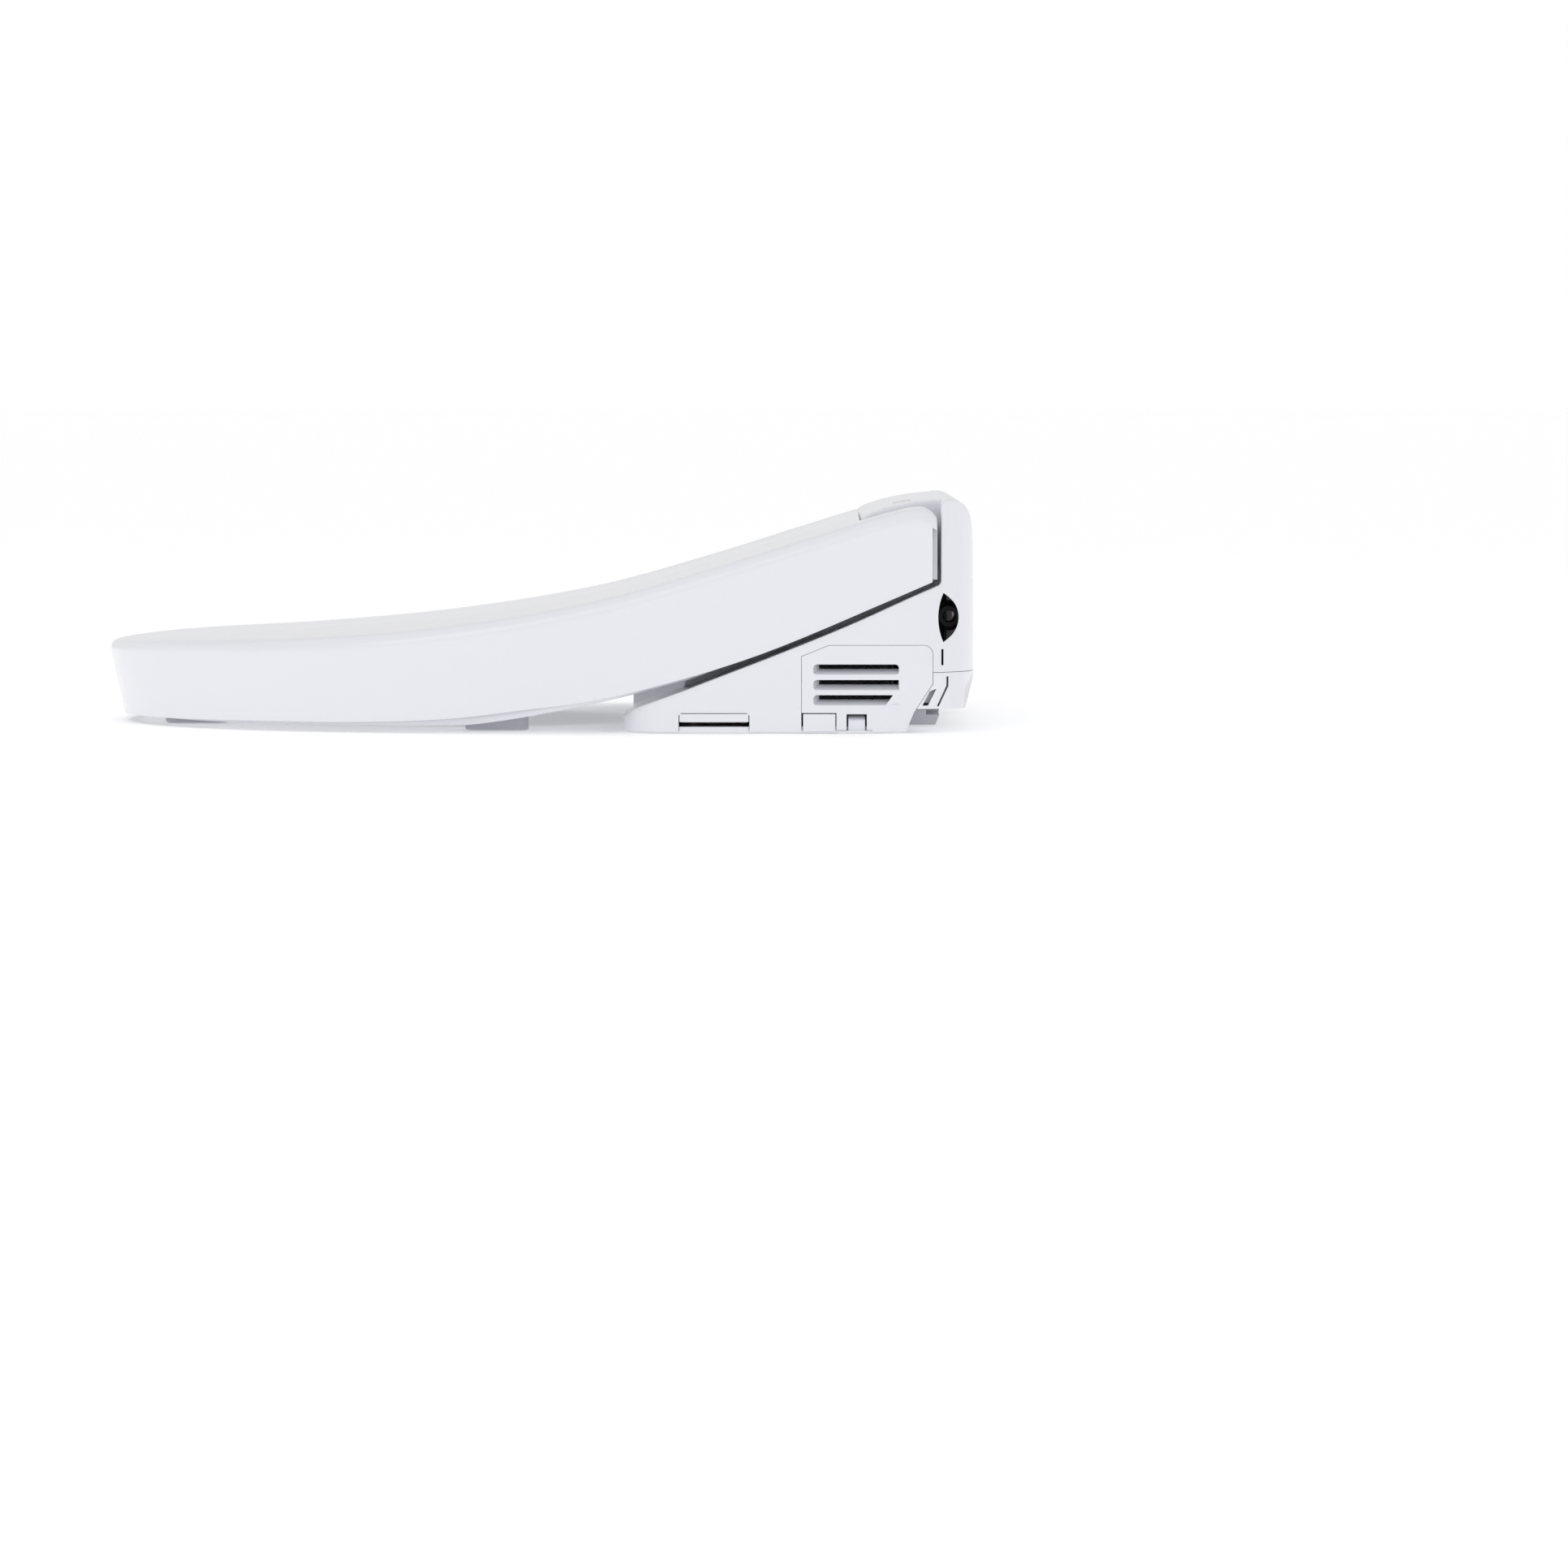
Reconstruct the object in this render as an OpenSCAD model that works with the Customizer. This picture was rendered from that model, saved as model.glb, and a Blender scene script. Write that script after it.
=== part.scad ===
// Electric bidet seat: a heated seat ring and a deep lid on a wedge-shaped washing unit.
// The origin is midway between the two fixing bolts, on the plane of the toilet rim.
// +Z is up, -Y is the front, +X is the side with the louvred filter cover.

/* [Overall] */
// Half of the lid's greatest width
lid_half = 190; // [180:1:196]
// Distance from the bolts to the front tip of the lid
lid_front = 476; // [450:1:480]
// Half of the washing unit's width
unit_half = 188; // [184:1:190]
// Where the unit's flat back face stands, behind the bolts
unit_back = 55; // [52:1:60]
// Front end of the unit's side arms, ahead of the bolts
arm_front = 155; // [145:1:165]

/* [Walls] */
// Wall of the lid shell
lid_wall = 3; // [2.4:0.1:3.4]
// Wall of the unit's covers
case_wall = 3; // [2.4:0.1:3.4]
// Wall of the seat shells
seat_wall = 3; // [2.4:0.1:3.4]

/* [Hinge] */
// Radius of the hinge pins
pin_r = 5.5; // [4.5:0.1:6]
// Running clearance of a pin in a bore, on radius
pin_gap = 0.06; // [0.03:0.01:0.1]

/* [Wand] */
// Angle of the wand below level
wand_angle = 32; // [30:1:33]
// Length of the wand tube
wand_len = 150; // [146:1:150]
// Radius of the wand tube
wand_r = 7.5; // [6:0.1:7.6]

/* [Water] */
// Outside radius of the threaded water inlet
inlet_r = 10.48; // [10:0.01:10.6]

/* [Mounting] */
// Distance between the two bolt holes
bolt_spacing = 140; // [138:1:142]
// Width of a bolt slot
slot_w = 9; // [8:0.1:10]
// Length of a bolt slot, end to end
slot_len = 23; // [18:1:26]

/* [Hidden] */
$fn = 48;

white = [0.93, 0.94, 0.96];
dark = [0.12, 0.12, 0.13];
hinge = [20, 122];          // hinge axis of seat and lid, as Y and Z

// ---- Smooth curves through a few points ----
function segment(p, x, i = 0) = (i >= len(p) - 2 || x < p[i + 1][0]) ? i : segment(p, x, i + 1);
function secant(p, i) = (p[i + 1][1] - p[i][1]) / (p[i + 1][0] - p[i][0]);
function tangent(p, i) = i == 0 ? secant(p, 0)
    : i == len(p) - 1 ? secant(p, i - 1)
    : (secant(p, i - 1) + secant(p, i)) / 2;
function curve(p, x_in) = let (
    x = max(p[0][0], min(p[len(p) - 1][0], x_in)),
    i = segment(p, x),
    h = p[i + 1][0] - p[i][0],
    t = (x - p[i][0]) / h)
    (2 * t^3 - 3 * t^2 + 1) * p[i][1] + (t^3 - 2 * t^2 + t) * h * tangent(p, i)
    + (3 * t^2 - 2 * t^3) * p[i + 1][1] + (t^3 - t^2) * h * tangent(p, i + 1);

// ---- Lines of the side view, as Y and Z ----
lid_top = [[-476, 49], [-440, 52.6], [-354, 57.5], [-266, 65.7], [-172, 81.4], [-108, 99],
    [-44, 119], [-15, 128], [8, 134.5], [22, 137], [28, 135.5], [32, 131.5]];
lid_low = [[-476, 4.2], [-377, 5.4], [-312, 6], [-257, 8.4], [-215, 13.4], [-173, 19],
    [-117, 32.4], [-80, 44], [-57, 52.6], [3, 78], [31, 90.1]];
seat_line = [[-460, 39], [-400, 41], [-310, 42], [-222, 46], [-172, 54], [-140, 62], [-108, 74],
    [-76, 89], [-44, 106], [-26, 113]];
// the unit's side edge, which follows the lid's lower edge 3 mm below it
side_line = [[-148, 14.4], [-124, 22.9], [-100, 32.1], [-61, 47.2], [-18, 64.8], [20, 82], [38.5, 90]];
side_rise = 0.4;            // mean slope of that edge
nose = [-118, 30];          // top of the unit's front face
step_foot = [-16, 99];      // foot of the upright wall under the lid's rear edge
slope_rise = (step_foot[1] - nose[1]) / (step_foot[0] - nose[0]);
function slope_z(y) = nose[1] + (y - nose[0]) * slope_rise;

// ---- Plan outlines ----
front_power = 2.15;
bend_y = -200;              // where the lid's straight sides meet its rounded front
function front_x(half, angle) = half * pow(cos(angle), 2 / front_power);
function front_y(len, angle) = bend_y - len * pow(sin(angle), 2 / front_power);

// Extrudes a Y-Z outline along X, centred.
module across(width) {
    rotate([90, 0, 90]) linear_extrude(height = width, center = true) children();
}
// A cylinder along X.
module rod_x(r, x0, x1, y, z) {
    translate([x0, y, z]) rotate([0, 90, 0]) cylinder(r = r, h = x1 - x0);
}
module box(lo, hi) {
    translate(lo) cube(hi - lo);
}
// The same thing on both sides.
module both_sides() {
    children();
    mirror([1, 0, 0]) children();
}

// ================= Washing unit: covers =================
back_r = 44;     // radius of the unit's rear corners, in plan
arm_r = 28;      // radius of the front corners
arm_x = 118;     // inner face of the side arms
hump_half = 144; // half width of the hump between the seat's hinge arms
wedge_half = 138;
seam_z = 36;     // joint between the upper cover and the lower case, at the back
under_z = 14;    // underside of the overhang at the back
ear_back = 34.5; // front face of the full-width beam behind the hinges

// The flat facet that takes off the lower rear corner of each side.
crease = [5.8, 21.9];    // a point of the facet's front edge, as Y and Z
module facet(d) {
    both_sides() translate([unit_half - d / cos(20), crease[0], crease[1]])
        rotate([-30.4, 0, 0]) rotate([0, 0, 20]) box([0, -0.01, -60], [40, 60, 80]);
}
// Solid prism of the unit's plan, inset by d.
module plan(d, z0, z1) {
    difference() {
        plan_block(d, z0, z1);
        facet(d);
    }
}
module plan_block(d, z0, z1) {
    box([-unit_half + d, -arm_front + arm_r, z0], [unit_half - d, unit_back - back_r, z1]);
    box([-unit_half + arm_r, -arm_front + d, z0], [unit_half - arm_r, -arm_front + arm_r, z1]);
    box([-unit_half + back_r, unit_back - back_r, z0], [unit_half - back_r, unit_back - d, z1]);
    both_sides() {
        translate([unit_half - arm_r, -arm_front + arm_r, z0]) cylinder(r = arm_r - d, h = z1 - z0);
        translate([unit_half - back_r, unit_back - back_r, z0]) cylinder(r = back_r - d, h = z1 - z0);
    }
}
// The lower wedge, the same from side to side.
module wedge(d) {
    lift = d * sqrt(1 + side_rise^2);
    last = side_line[len(side_line) - 1];
    across(2 * unit_half + 2) polygon([[-arm_front - 2, -1], [unit_back + 2, -1], [unit_back + 2, last[1] - lift],
        for (y = [last[0] : -6.2 : side_line[0][0]]) [y, curve(side_line, y) - lift],
        [side_line[0][0] - 4 + d / 2, 11 - d], [-arm_front - 2, 9 - d]]);
}
// The raised middle: the slope under the seat, the wall under the lid's rear edge and the hump.
module middle(d) {
    lift = d * sqrt(1 + slope_rise^2);
    across(2 * (hump_half - d)) polygon([[step_foot[0] - 20, -1], [unit_back - d, -1], [unit_back - d, 36],
        [unit_back - 0.6 - d, 110], [52.2 - d, 130 - d * 0.4], [49.6 - d * 0.9, 134.6 - d * 0.7],
        [45.6, 137.4 - d], [36.6, 138.5 - d], [20.5, 136.9 - d], [4.4, 133.7 - d], [-8 + d * 0.5, 129.6 - d],
        [-12 + d, 127 - d], [step_foot[0] + d, step_foot[1] - d * 0.4],
        [step_foot[0] - 20, slope_z(step_foot[0] - 20) - lift]]);
    across(2 * (wedge_half - d)) polygon([[nose[0] + d, -1], [step_foot[0] + 4, -1],
        [step_foot[0] + 4, 90], [step_foot[0] + d, step_foot[1] - d * 0.4],
        [nose[0] + 2 + d, nose[1] + 1.3 - lift], [nose[0] + d, nose[1] - 1 - lift]]);
}
// The full-width beam behind the hinges.
module beam(d) {
    intersection() {
        plan(d, -1, 150);
        across(2 * unit_half + 2) polygon([[ear_back + d, -1], [unit_back + 1 - d, -1],
            [unit_back + 1 - d, 36], [unit_back - 0.6 - d, 110], [52.2 - d, 130 - d * 0.4],
            [49.6 - d * 0.9, 134.6 - d * 0.7], [45.6, 137.4 - d], [ear_back + 4.5 + d * 0.4, 137.6 - d],
            [ear_back + 1.2 + d, 136.2 - d], [ear_back + d, 133.4 - d]]);
    }
}
module unit_solid(d) {
    difference() {
        intersection() {
            plan(d, -1, 150);
            wedge(d);
        }
        box([-arm_x - d, -arm_front - 5, -2], [arm_x + d, nose[0] + d, 60]);
    }
    middle(d);
    beam(d);
}

// Outline of the louvred side cover in the side view, grown by g.
panel = [-48, 29.8, 52];    // front, back and top of the side cover
module panel_outline(g) {
    polygon([[panel[0] - g, -2], [panel[0] - g, 45.5 + g * 0.6], [-32 - g * 0.4, panel[2] + g],
        [panel[1] - 5, panel[2] + g], [panel[1] - 1.6 + g * 0.7, panel[2] - 1.6 + g * 0.7],
        [panel[1] + g, panel[2] - 6], [panel[1] + g, 29 - g * 0.3], [18.6 + g, 12], [11.2 + g, -2]]);
}
tray = [-121, -79, 11.9];   // front, back and top of the tray's window in the side
sensor_x = [78, 118];
mouth_r = 11.2;  // wand mouth, which also lets the rack through
module lens_port() {
    intersection() {
        rod_x(15.4, 120, unit_half + 2, 30, 68.3);
        rod_x(36, 120, unit_half + 2, 69, 68.3);
    }
}

module upper_cover() {
    color(white) difference() {
        unit_solid(0);
        unit_solid(case_wall);
        // open underneath, and open where the side covers and the lower case's back wall close it
        box([-200, -170, -2], [200, 70, 0.8]);
        across(420) polygon([[11, -3], [18.6, 12], [panel[1], 29], [panel[1], seam_z],
            [70, seam_z], [70, -3]]);
        both_sides() intersection() {
            across(420) panel_outline(0.3);
            box([150, -60, -3], [200, 40, 60]);
        }
        // tray window, cord port and slit
        box([unit_half - 10, tray[0], -2], [unit_half + 2, tray[1], tray[2]]);
        lens_port();
        box([160, 34.9, 40], [200, 36.2, 49.6]);
        // wand mouth, dryer mouth, indicator and seat sensor windows in the front and top
        wand_frame() rotate([90, 0, 0]) translate([0, 0, -30]) cylinder(r = mouth_r, h = 60);
        box([-76, nose[0] - 1, 7], [-34, nose[0] + 8, 25.5]);
        box([60, 8, 120], [110, 18, 150]);
        box([sensor_x[0], step_foot[0] - 4, 106], [sensor_x[1], 0, 118]);
        // seats of the hinge bushes
        both_sides() rod_x(8, hump_half - case_wall - 1, hump_half + 1, hinge[0], hinge[1]);
    }
    // rib behind the cord port, which carries the cord gland
    color(white) difference() {
        box([133.8, 18, seam_z + 1], [136.3, unit_back - case_wall - 0.4, 104]);
        rod_x(6.6, 130, 140, 40, 68.3);
    }
}

module lower_case() {
    floor_z = 1.2;
    color([0.86, 0.87, 0.89]) difference() {
        union() {
            // floor of the front part
            difference() {
                plan(case_wall + 0.4, floor_z, floor_z + 2.5);
                box([-200, 12, -1], [200, 70, 10]);
                box([-arm_x - case_wall, -170, -1], [arm_x + case_wall, nose[0] + case_wall + 0.4, 10]);
            }
            // back wall and raised floor of the overhang
            difference() {
                intersection() {
                    plan(0, under_z, seam_z - 0.3);
                    across(400) polygon([[6, under_z], [49.4, under_z], [55, 33], [55.2, 40], [6, 40]]);
                }
                intersection() {
                    plan(case_wall, under_z + 2.5, 60);
                    across(400) polygon([[2, under_z + 2.5], [46.6, under_z + 2.5], [52, 33],
                        [52.2, 60], [2, 60]]);
                }
                both_sides() intersection() {
                    across(420) panel_outline(0.3);
                    box([150, -60, -3], [200, 40, 60]);
                }
            }
            // riser between the two floors
            box([-176, 9.5, floor_z], [176, 12, under_z + 2.5]);
        }
        // tunnel for the base plate, closed above by its own roof
        box([-plate_half - 4, -plate_front - 5, -1], [plate_half + 4, 14, 9.8]);
        // vents in the corner, water inlet hole, latch hole
        both_sides() {
            intersection() {
                across(400) polygon([[23.7, 16], [27, 16], [32, 26], [28, 24.6]]);
                box([120, 0, 0], [200, 60, 60]);
            }
            intersection() {
                across(400) polygon([[32.3, 15.5], [33.5, 15.5], [39.2, 27.6], [39.2, 33.3],
                    [38, 33.3], [38, 28]]);
                box([120, 0, 0], [200, 60, 60]);
            }
        }
        rod_x(15.2, -unit_half - 5, -160, inlet[0], inlet[1]);
        rod_x(9, -161, -136, inlet[0], inlet[1]);
        box([180, -48.6, 0], [190, -27, 13]);
        box([183, -22, 1.6], [190, -9, 6]);
    }
    // sills that show under the tray and under the side cover's catch
    color([0.86, 0.87, 0.89]) {
        box([178, tray[0] + 0.4, 0.3], [unit_half - 1, tray[1] - 0.4, 3.7]);
        box([178, -26.8, 0.3], [unit_half - 0.6, -6.8, 1.5]);
    }
    // roof of the tunnel, with walls down to the floor
    color([0.86, 0.87, 0.89]) difference() {
        box([-plate_half - 6.5, -plate_front - 7.5, floor_z], [plate_half + 6.5, 14, 12.2]);
        box([-plate_half - 4, -plate_front - 5, -1], [plate_half + 4, 20, 9.8]);
        box([80, -42, 5.4], [100, -34, 11.4]);
    }
}

// A side cover: a curved panel that follows the unit's plan.
module side_panel() {
    intersection() {
        difference() {
            plan(0, 0.6, 60);
            plan(case_wall - 0.5, -1, 61);
        }
        across(420) panel_outline(-0.2);
        box([150, -60, 0], [200, 40, 60]);
    }
}
louvre_z = [40.8, 31.6, 22.6];   // tops of the three slots
slot_h = 6.1;
module filter_cover() {
    color(white) difference() {
        union() {
            difference() {
                side_panel();
                for (z = louvre_z) box([180, -41.2, z - slot_h], [190, 9.7, z]);
            }
            // vanes that slope up and inwards behind each slot
            for (z = louvre_z)
                translate([0, -15.75, 0]) across_at(53.5)
                    polygon([[unit_half - 0.4, z - slot_h - 0.6], [unit_half - 0.4, z - slot_h + 0.6],
                        [unit_half - 7, z - 1.8], [unit_half - 7, z - 3.2]]);
            // frame around the vanes
            for (y = [-42.5, 9.5])
                box([unit_half - 7, y, 15], [unit_half - 2, y + 1.5, 42]);
        }
        // cut-outs for the release button and the catch
        box([180, -60, -1], [190, -27.4, 12]);
        box([180, -21.4, 0.4], [190, -9.4, 11.3]);
        box([170, -27.6, 0], [190, -6.2, 1.8]);
    }
    // catch tab in its window
    color(white) translate([0, -15.4, 0]) across_at(9.6)
        polygon([[unit_half - 1.6, 1.9], [unit_half - 1.6, 6.2], [unit_half - 7, 11.6], [unit_half - 9, 11.6],
            [unit_half - 4, 5], [unit_half - 4, 1.9]]);
    color(white) difference() {
        box([unit_half - 9, -23, 9.8], [unit_half - 2.4, -7.6, 13]);
        box([unit_half - 10, -20.3, 9], [unit_half, -10.4, 11.7]);
    }
}
// Extrudes an X-Z outline along Y, centred.
module across_at(width) {
    rotate([90, 0, 0]) linear_extrude(height = width, center = true) children();
}
module service_cover() {
    color(white) mirror([1, 0, 0]) difference() {
        side_panel();
        rod_x(14, 170, 200, knob[0], knob[1]);
        rod_x(15, 150, 200, inlet[0], inlet[1]);
    }
}

// ================= Hinges =================
module hinge_bushes() {
    color(dark) both_sides() difference() {
        union() {
            rod_x(7.98, hump_half - 6, hump_half + 0.01, hinge[0], hinge[1]);
            rod_x(10, hump_half - 8, hump_half - case_wall - 0.8, hinge[0], hinge[1]);
        }
        rod_x(pin_r + pin_gap, hump_half - 12, hump_half + 3, hinge[0], hinge[1]);
    }
}
module damper() {
    difference() {
        union() {
            rod_x(9.4, 96, 134, hinge[0], hinge[1]);
            box([100, hinge[0] - 7, hinge[1] - 17], [130, hinge[0] + 7, hinge[1] - 5]);
        }
        rod_x(pin_r + pin_gap, 112, 135, hinge[0], hinge[1]);
    }
}
module lid_damper() { color(dark) damper(); }
module seat_damper() { color(dark) mirror([1, 0, 0]) damper(); }
module lid_hinge_pins() {
    color([0.75, 0.76, 0.78]) both_sides() {
        rod_x(pin_r, 114, 182, hinge[0], hinge[1]);
    }
}

// ================= Base plate =================
plate_half = 88;
plate_front = 50;
plate_back = 36;
module base_plate() {
    color([0.8, 0.81, 0.83]) difference() {
        union() {
            across(2 * plate_half) polygon([[-plate_front, 0], [plate_back - 2.4, 0],
                [plate_back, 6], [-plate_front + 2, 6]]);
            // side rails that the unit slides along
            both_sides() box([plate_half - 8, -plate_front + 6, 5], [plate_half, plate_back - 8, 9]);
            // stop across the back
            across(120) polygon([[plate_back - 8, 5], [plate_back, 5], [plate_back + 1, 12.6],
                [plate_back - 7, 12.6]]);
        }
        both_sides() {
            // bolt slots along X, with a countersunk tray around them
            translate([bolt_spacing / 2, 0, -1]) {
                for (side = [-1, 1])
                    translate([side * (slot_len - slot_w) / 2, 0, 0]) cylinder(d = slot_w, h = 20);
                box([-(slot_len - slot_w) / 2, -slot_w / 2, 0], [(slot_len - slot_w) / 2, slot_w / 2, 20]);
            }
            box([bolt_spacing / 2 - 17.5, -10, 3.5], [plate_half - 8.5, 10, 20]);
        }
        box([-36, -36, -1], [36, 20, 20]);
    }
}
module base_pads() {
    color(dark) both_sides() {
        box([plate_half + 8, -100, 0], [plate_half + 22, -60, 1.1]);
        box([plate_half + 8, -6, 0], [plate_half + 40, 6, 1.1]);
    }
}

// ================= Controls and side fittings =================
module release_button() {
    color(white) {
        box([unit_half - 2.6, -47.2, 1], [unit_half, -28, 11.4]);
        box([unit_half - 8, -45, 6.4], [unit_half - 2.5, -31.5, 10.4]);
        box([92.6, -40.5, 6.4], [unit_half - 7.9, -35.5, 10.4]);
    }
}
module release_spring() {
    color([0.7, 0.7, 0.72]) sweep([for (n = [0 : 72])
        [130 + n * 0.4, -38 + 3.9 * cos(n * 30), 8.4 + 3.9 * sin(n * 30)]], 0.5, 6);
}
module filter_tray() {
    color(white) difference() {
        union() {
            // front plate over the finger slot
            box([unit_half - 2.4, tray[0] + 0.5, 6.6], [unit_half, tray[1] - 0.5, tray[2] - 0.4]);
            box([unit_half - 6, tray[0] + 0.5, 6.6], [unit_half - 2.3, tray[1] - 0.5, 9]);
            box([123, tray[0] + 1.5, 5], [170, tray[1] - 1.5, 10.8]);
            box([169, tray[0] + 1.5, 6.8], [unit_half - 5, tray[1] - 1.5, 10.8]);
        }
        box([126, tray[0] + 4.5, 6.2], [167, tray[1] - 4.5, 12]);
        for (n = [0 : 2])
            box([130 + n * 12, tray[0] + 8, 4], [138 + n * 12, tray[1] - 8, 12]);
    }
}
module tray_mesh() {
    color([0.35, 0.36, 0.38]) difference() {
        box([126.2, tray[0] + 4.7, 6.3], [166.8, tray[1] - 4.7, 7.5]);
        for (i = [0 : 6], j = [0 : 4])
            box([129 + i * 5.4, tray[0] + 7.2 + j * 6, 5], [132.6 + i * 5.4, tray[0] + 11 + j * 6, 9]);
    }
}
inlet = [8, 24];     // water inlet on the far side, as Y and Z
knob = [-28, 24];    // drain knob beside it
module water_inlet() {
    color([0.85, 0.85, 0.86]) mirror([1, 0, 0]) difference() {
        union() {
            rod_x(inlet_r, 172, unit_half - 1, inlet[0], inlet[1]);
            rod_x(8, 140, 173, inlet[0], inlet[1]);
            translate([166, inlet[0], inlet[1]]) rotate([0, 90, 0]) cylinder(r = 13, h = 5, $fn = 6);
        }
        rod_x(6, 144, unit_half + 2, inlet[0], inlet[1]);
    }
}
module drain_knob() {
    color([0.8, 0.81, 0.84]) mirror([1, 0, 0]) difference() {
        union() {
            rod_x(13.4, unit_half - 3, unit_half - 0.4, knob[0], knob[1]);
            rod_x(9, 160, unit_half - 2.8, knob[0], knob[1]);
        }
        for (side = [0, 1]) box([unit_half - 2, knob[0] - 12 + 15 * side, knob[1] - 14],
            [unit_half + 1, knob[0] - 3 + 15 * side, knob[1] + 14]);
    }
}
module cord_gland() {
    color(dark) {
        difference() {
            union() {
                rod_x(9, 136.4, 143, 40, 68.3);
                rod_x(6.5, 132, 158, 40, 68.3);
            }
            rod_x(3.6, 130, 160, 40, 68.3);
        }
    }
}
module indicator_window() {
    color([0.2, 0.22, 0.25]) intersection() {
        difference() {
            middle(0.2);
            middle(2.2);
        }
        box([60.2, 8.2, 120], [109.8, 17.8, 150]);
    }
}
module seat_sensor_window() {
    color(dark) intersection() {
        difference() {
            middle(0.2);
            middle(2.2);
        }
        box([sensor_x[0] + 0.2, step_foot[0] - 4, 106.2], [sensor_x[1] - 0.2, 0, 117.8]);
    }
}

// ================= Wand =================
wand_tip_at = [0, -111, 20];
module wand_frame() {
    translate(wand_tip_at) rotate([wand_angle, 0, 0]) children();
}
// A cylinder along the wand's axis; y runs back from the tip.
module along(r, y0, y1, x = 0, z = 0) {
    translate([x, y1, z]) rotate([90, 0, 0]) cylinder(r = r, h = y1 - y0);
}
rack_x = wand_r + 2.2;    // pitch line of the rack, from the wand's axis
pinion_teeth = 16;
pinion_y = 36;
module wand_tube() {
    color([0.9, 0.91, 0.93]) wand_frame() {
        difference() {
            union() {
                along(wand_r, 14, wand_len);
                box([wand_r - 2.2, 26, -2.5], [rack_x - 1.3, wand_len, 2.5]);
            }
            along(wand_r - 1.8, 13, wand_len - 2);
        }
        for (n = [-3 : 35])
            translate([rack_x - 1.4, pinion_y + (n + 0.5) * PI, 0]) linear_extrude(height = 5, center = true)
                polygon([[0, -0.95], [0, 0.95], [2.2, 0.35], [2.2, -0.35]]);
    }
}
module wand_tip() {
    color([0.92, 0.93, 0.95]) wand_frame() difference() {
        union() {
            along(wand_r, 3, 13.9);
            along(wand_r - 2, 0.4, 3.1);
            along(wand_r - 1.9, 13.8, 19.5);
        }
        for (y = [6, 9.5])
            translate([0, y, 3]) cylinder(r = 0.9, h = 8);
    }
}
module wand_guide() {
    color([0.6, 0.62, 0.65]) wand_frame() difference() {
        union() {
            for (y = [14, 60, 108]) box([-12, y, -12], [6.5, y + 11, 0]);
            box([-12, 14, -12], [-9, 119, 0]);
            box([-12, 14, -13], [6.5, 119, -10.5]);
        }
        along(wand_r + 0.3, 0, 140);
    }
}
pinion_x = rack_x + pinion_teeth / 2;
module wand_pinion() {
    color([0.95, 0.95, 0.9]) wand_frame() translate([pinion_x, pinion_y, 0]) {
        difference() {
            union() {
                translate([0, 0, -2.4]) cylinder(r = pinion_teeth / 2 - 1.25, h = 4.8);
                for (n = [0 : pinion_teeth - 1])
                    rotate([0, 0, n * 360 / pinion_teeth])
                        linear_extrude(height = 4.8, center = true)
                            polygon([[6, -1.15], [6, 1.15], [8, 0.6], [8.9, 0.3], [8.9, -0.3], [8, -0.6]]);
            }
            translate([0, 0, -5]) cylinder(r = 1.55, h = 10);
        }
    }
}
module wand_motor() {
    color([0.7, 0.71, 0.72]) wand_frame() translate([pinion_x, pinion_y, 0]) {
        translate([0, 0, -14.4]) cylinder(r = 10, h = 11.4);
        translate([0, 0, -3.1]) cylinder(r = 1.5, h = 5.6);
    }
}

// ================= Dryer =================
dryer_at = [-62, -8, 46];
module dryer_housing() {
    color([0.55, 0.56, 0.58]) difference() {
        union() {
            rod_x(31, dryer_at[0] - 15, dryer_at[0] + 15, dryer_at[1], dryer_at[2]);
            // duct down to the outlet
            translate([dryer_at[0], 0, 0]) across(34)
                polygon([[-110, 8], [-110, 24], [-52, 52], [-36, 62], [-20, 26], [-50, 18]]);
        }
        rod_x(28.5, dryer_at[0] - 12.5, dryer_at[0] + 12.5, dryer_at[1], dryer_at[2]);
        rod_x(13, dryer_at[0] - 20, dryer_at[0] - 10, dryer_at[1], dryer_at[2]);
        rod_x(3.1, dryer_at[0] + 10, dryer_at[0] + 20, dryer_at[1], dryer_at[2]);
        translate([dryer_at[0], 0, 0]) across(29)
            polygon([[-115, 10], [-110, 10], [-50, 20.5], [-20, 30], [-30, 56], [-52, 49],
                [-110, 22], [-115, 22]]);
    }
}
module impeller(r, width, blades) {
    difference() {
        union() {
            cylinder(r = r, h = 1.6);
            cylinder(r = 7, h = width);
            for (n = [0 : blades - 1])
                rotate([0, 0, n * 360 / blades])
                    translate([r - 6.5, 0, 0]) rotate([0, 0, 28]) box([0, -0.6, 0], [6, 0.6, width]);
            translate([0, 0, width - 1.4]) difference() {
                cylinder(r = r, h = 1.4);
                translate([0, 0, -1]) cylinder(r = r - 4, h = 4);
            }
        }
        translate([0, 0, -1]) cylinder(r = 3.06, h = width + 2);
    }
}
module dryer_fan() {
    color(dark) translate([dryer_at[0] - 9, dryer_at[1], dryer_at[2]]) rotate([0, 90, 0])
        impeller(26.5, 18, 16);
}
module dryer_heater() {
    color([0.7, 0.45, 0.25]) translate([dryer_at[0], 0, 0]) for (n = [0 : 3])
        across(24) polygon([[-100 + n * 8, 14 + n * 2.6], [-98.6 + n * 8, 13.4 + n * 2.6],
            [-96.6 + n * 8, 22 + n * 2.6], [-98 + n * 8, 22.6 + n * 2.6]]);
}
flap_hinge = [nose[0] + 3.2, 23];
module dryer_flap() {
    color(white) difference() {
        union() {
            box([-75, nose[0] + 0.4, 7.6], [-35, nose[0] + 2.4, 23]);
            rod_x(2, -75, -35, flap_hinge[0], flap_hinge[1]);
        }
        rod_x(0.9, -80, -30, flap_hinge[0], flap_hinge[1]);
    }
}

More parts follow.
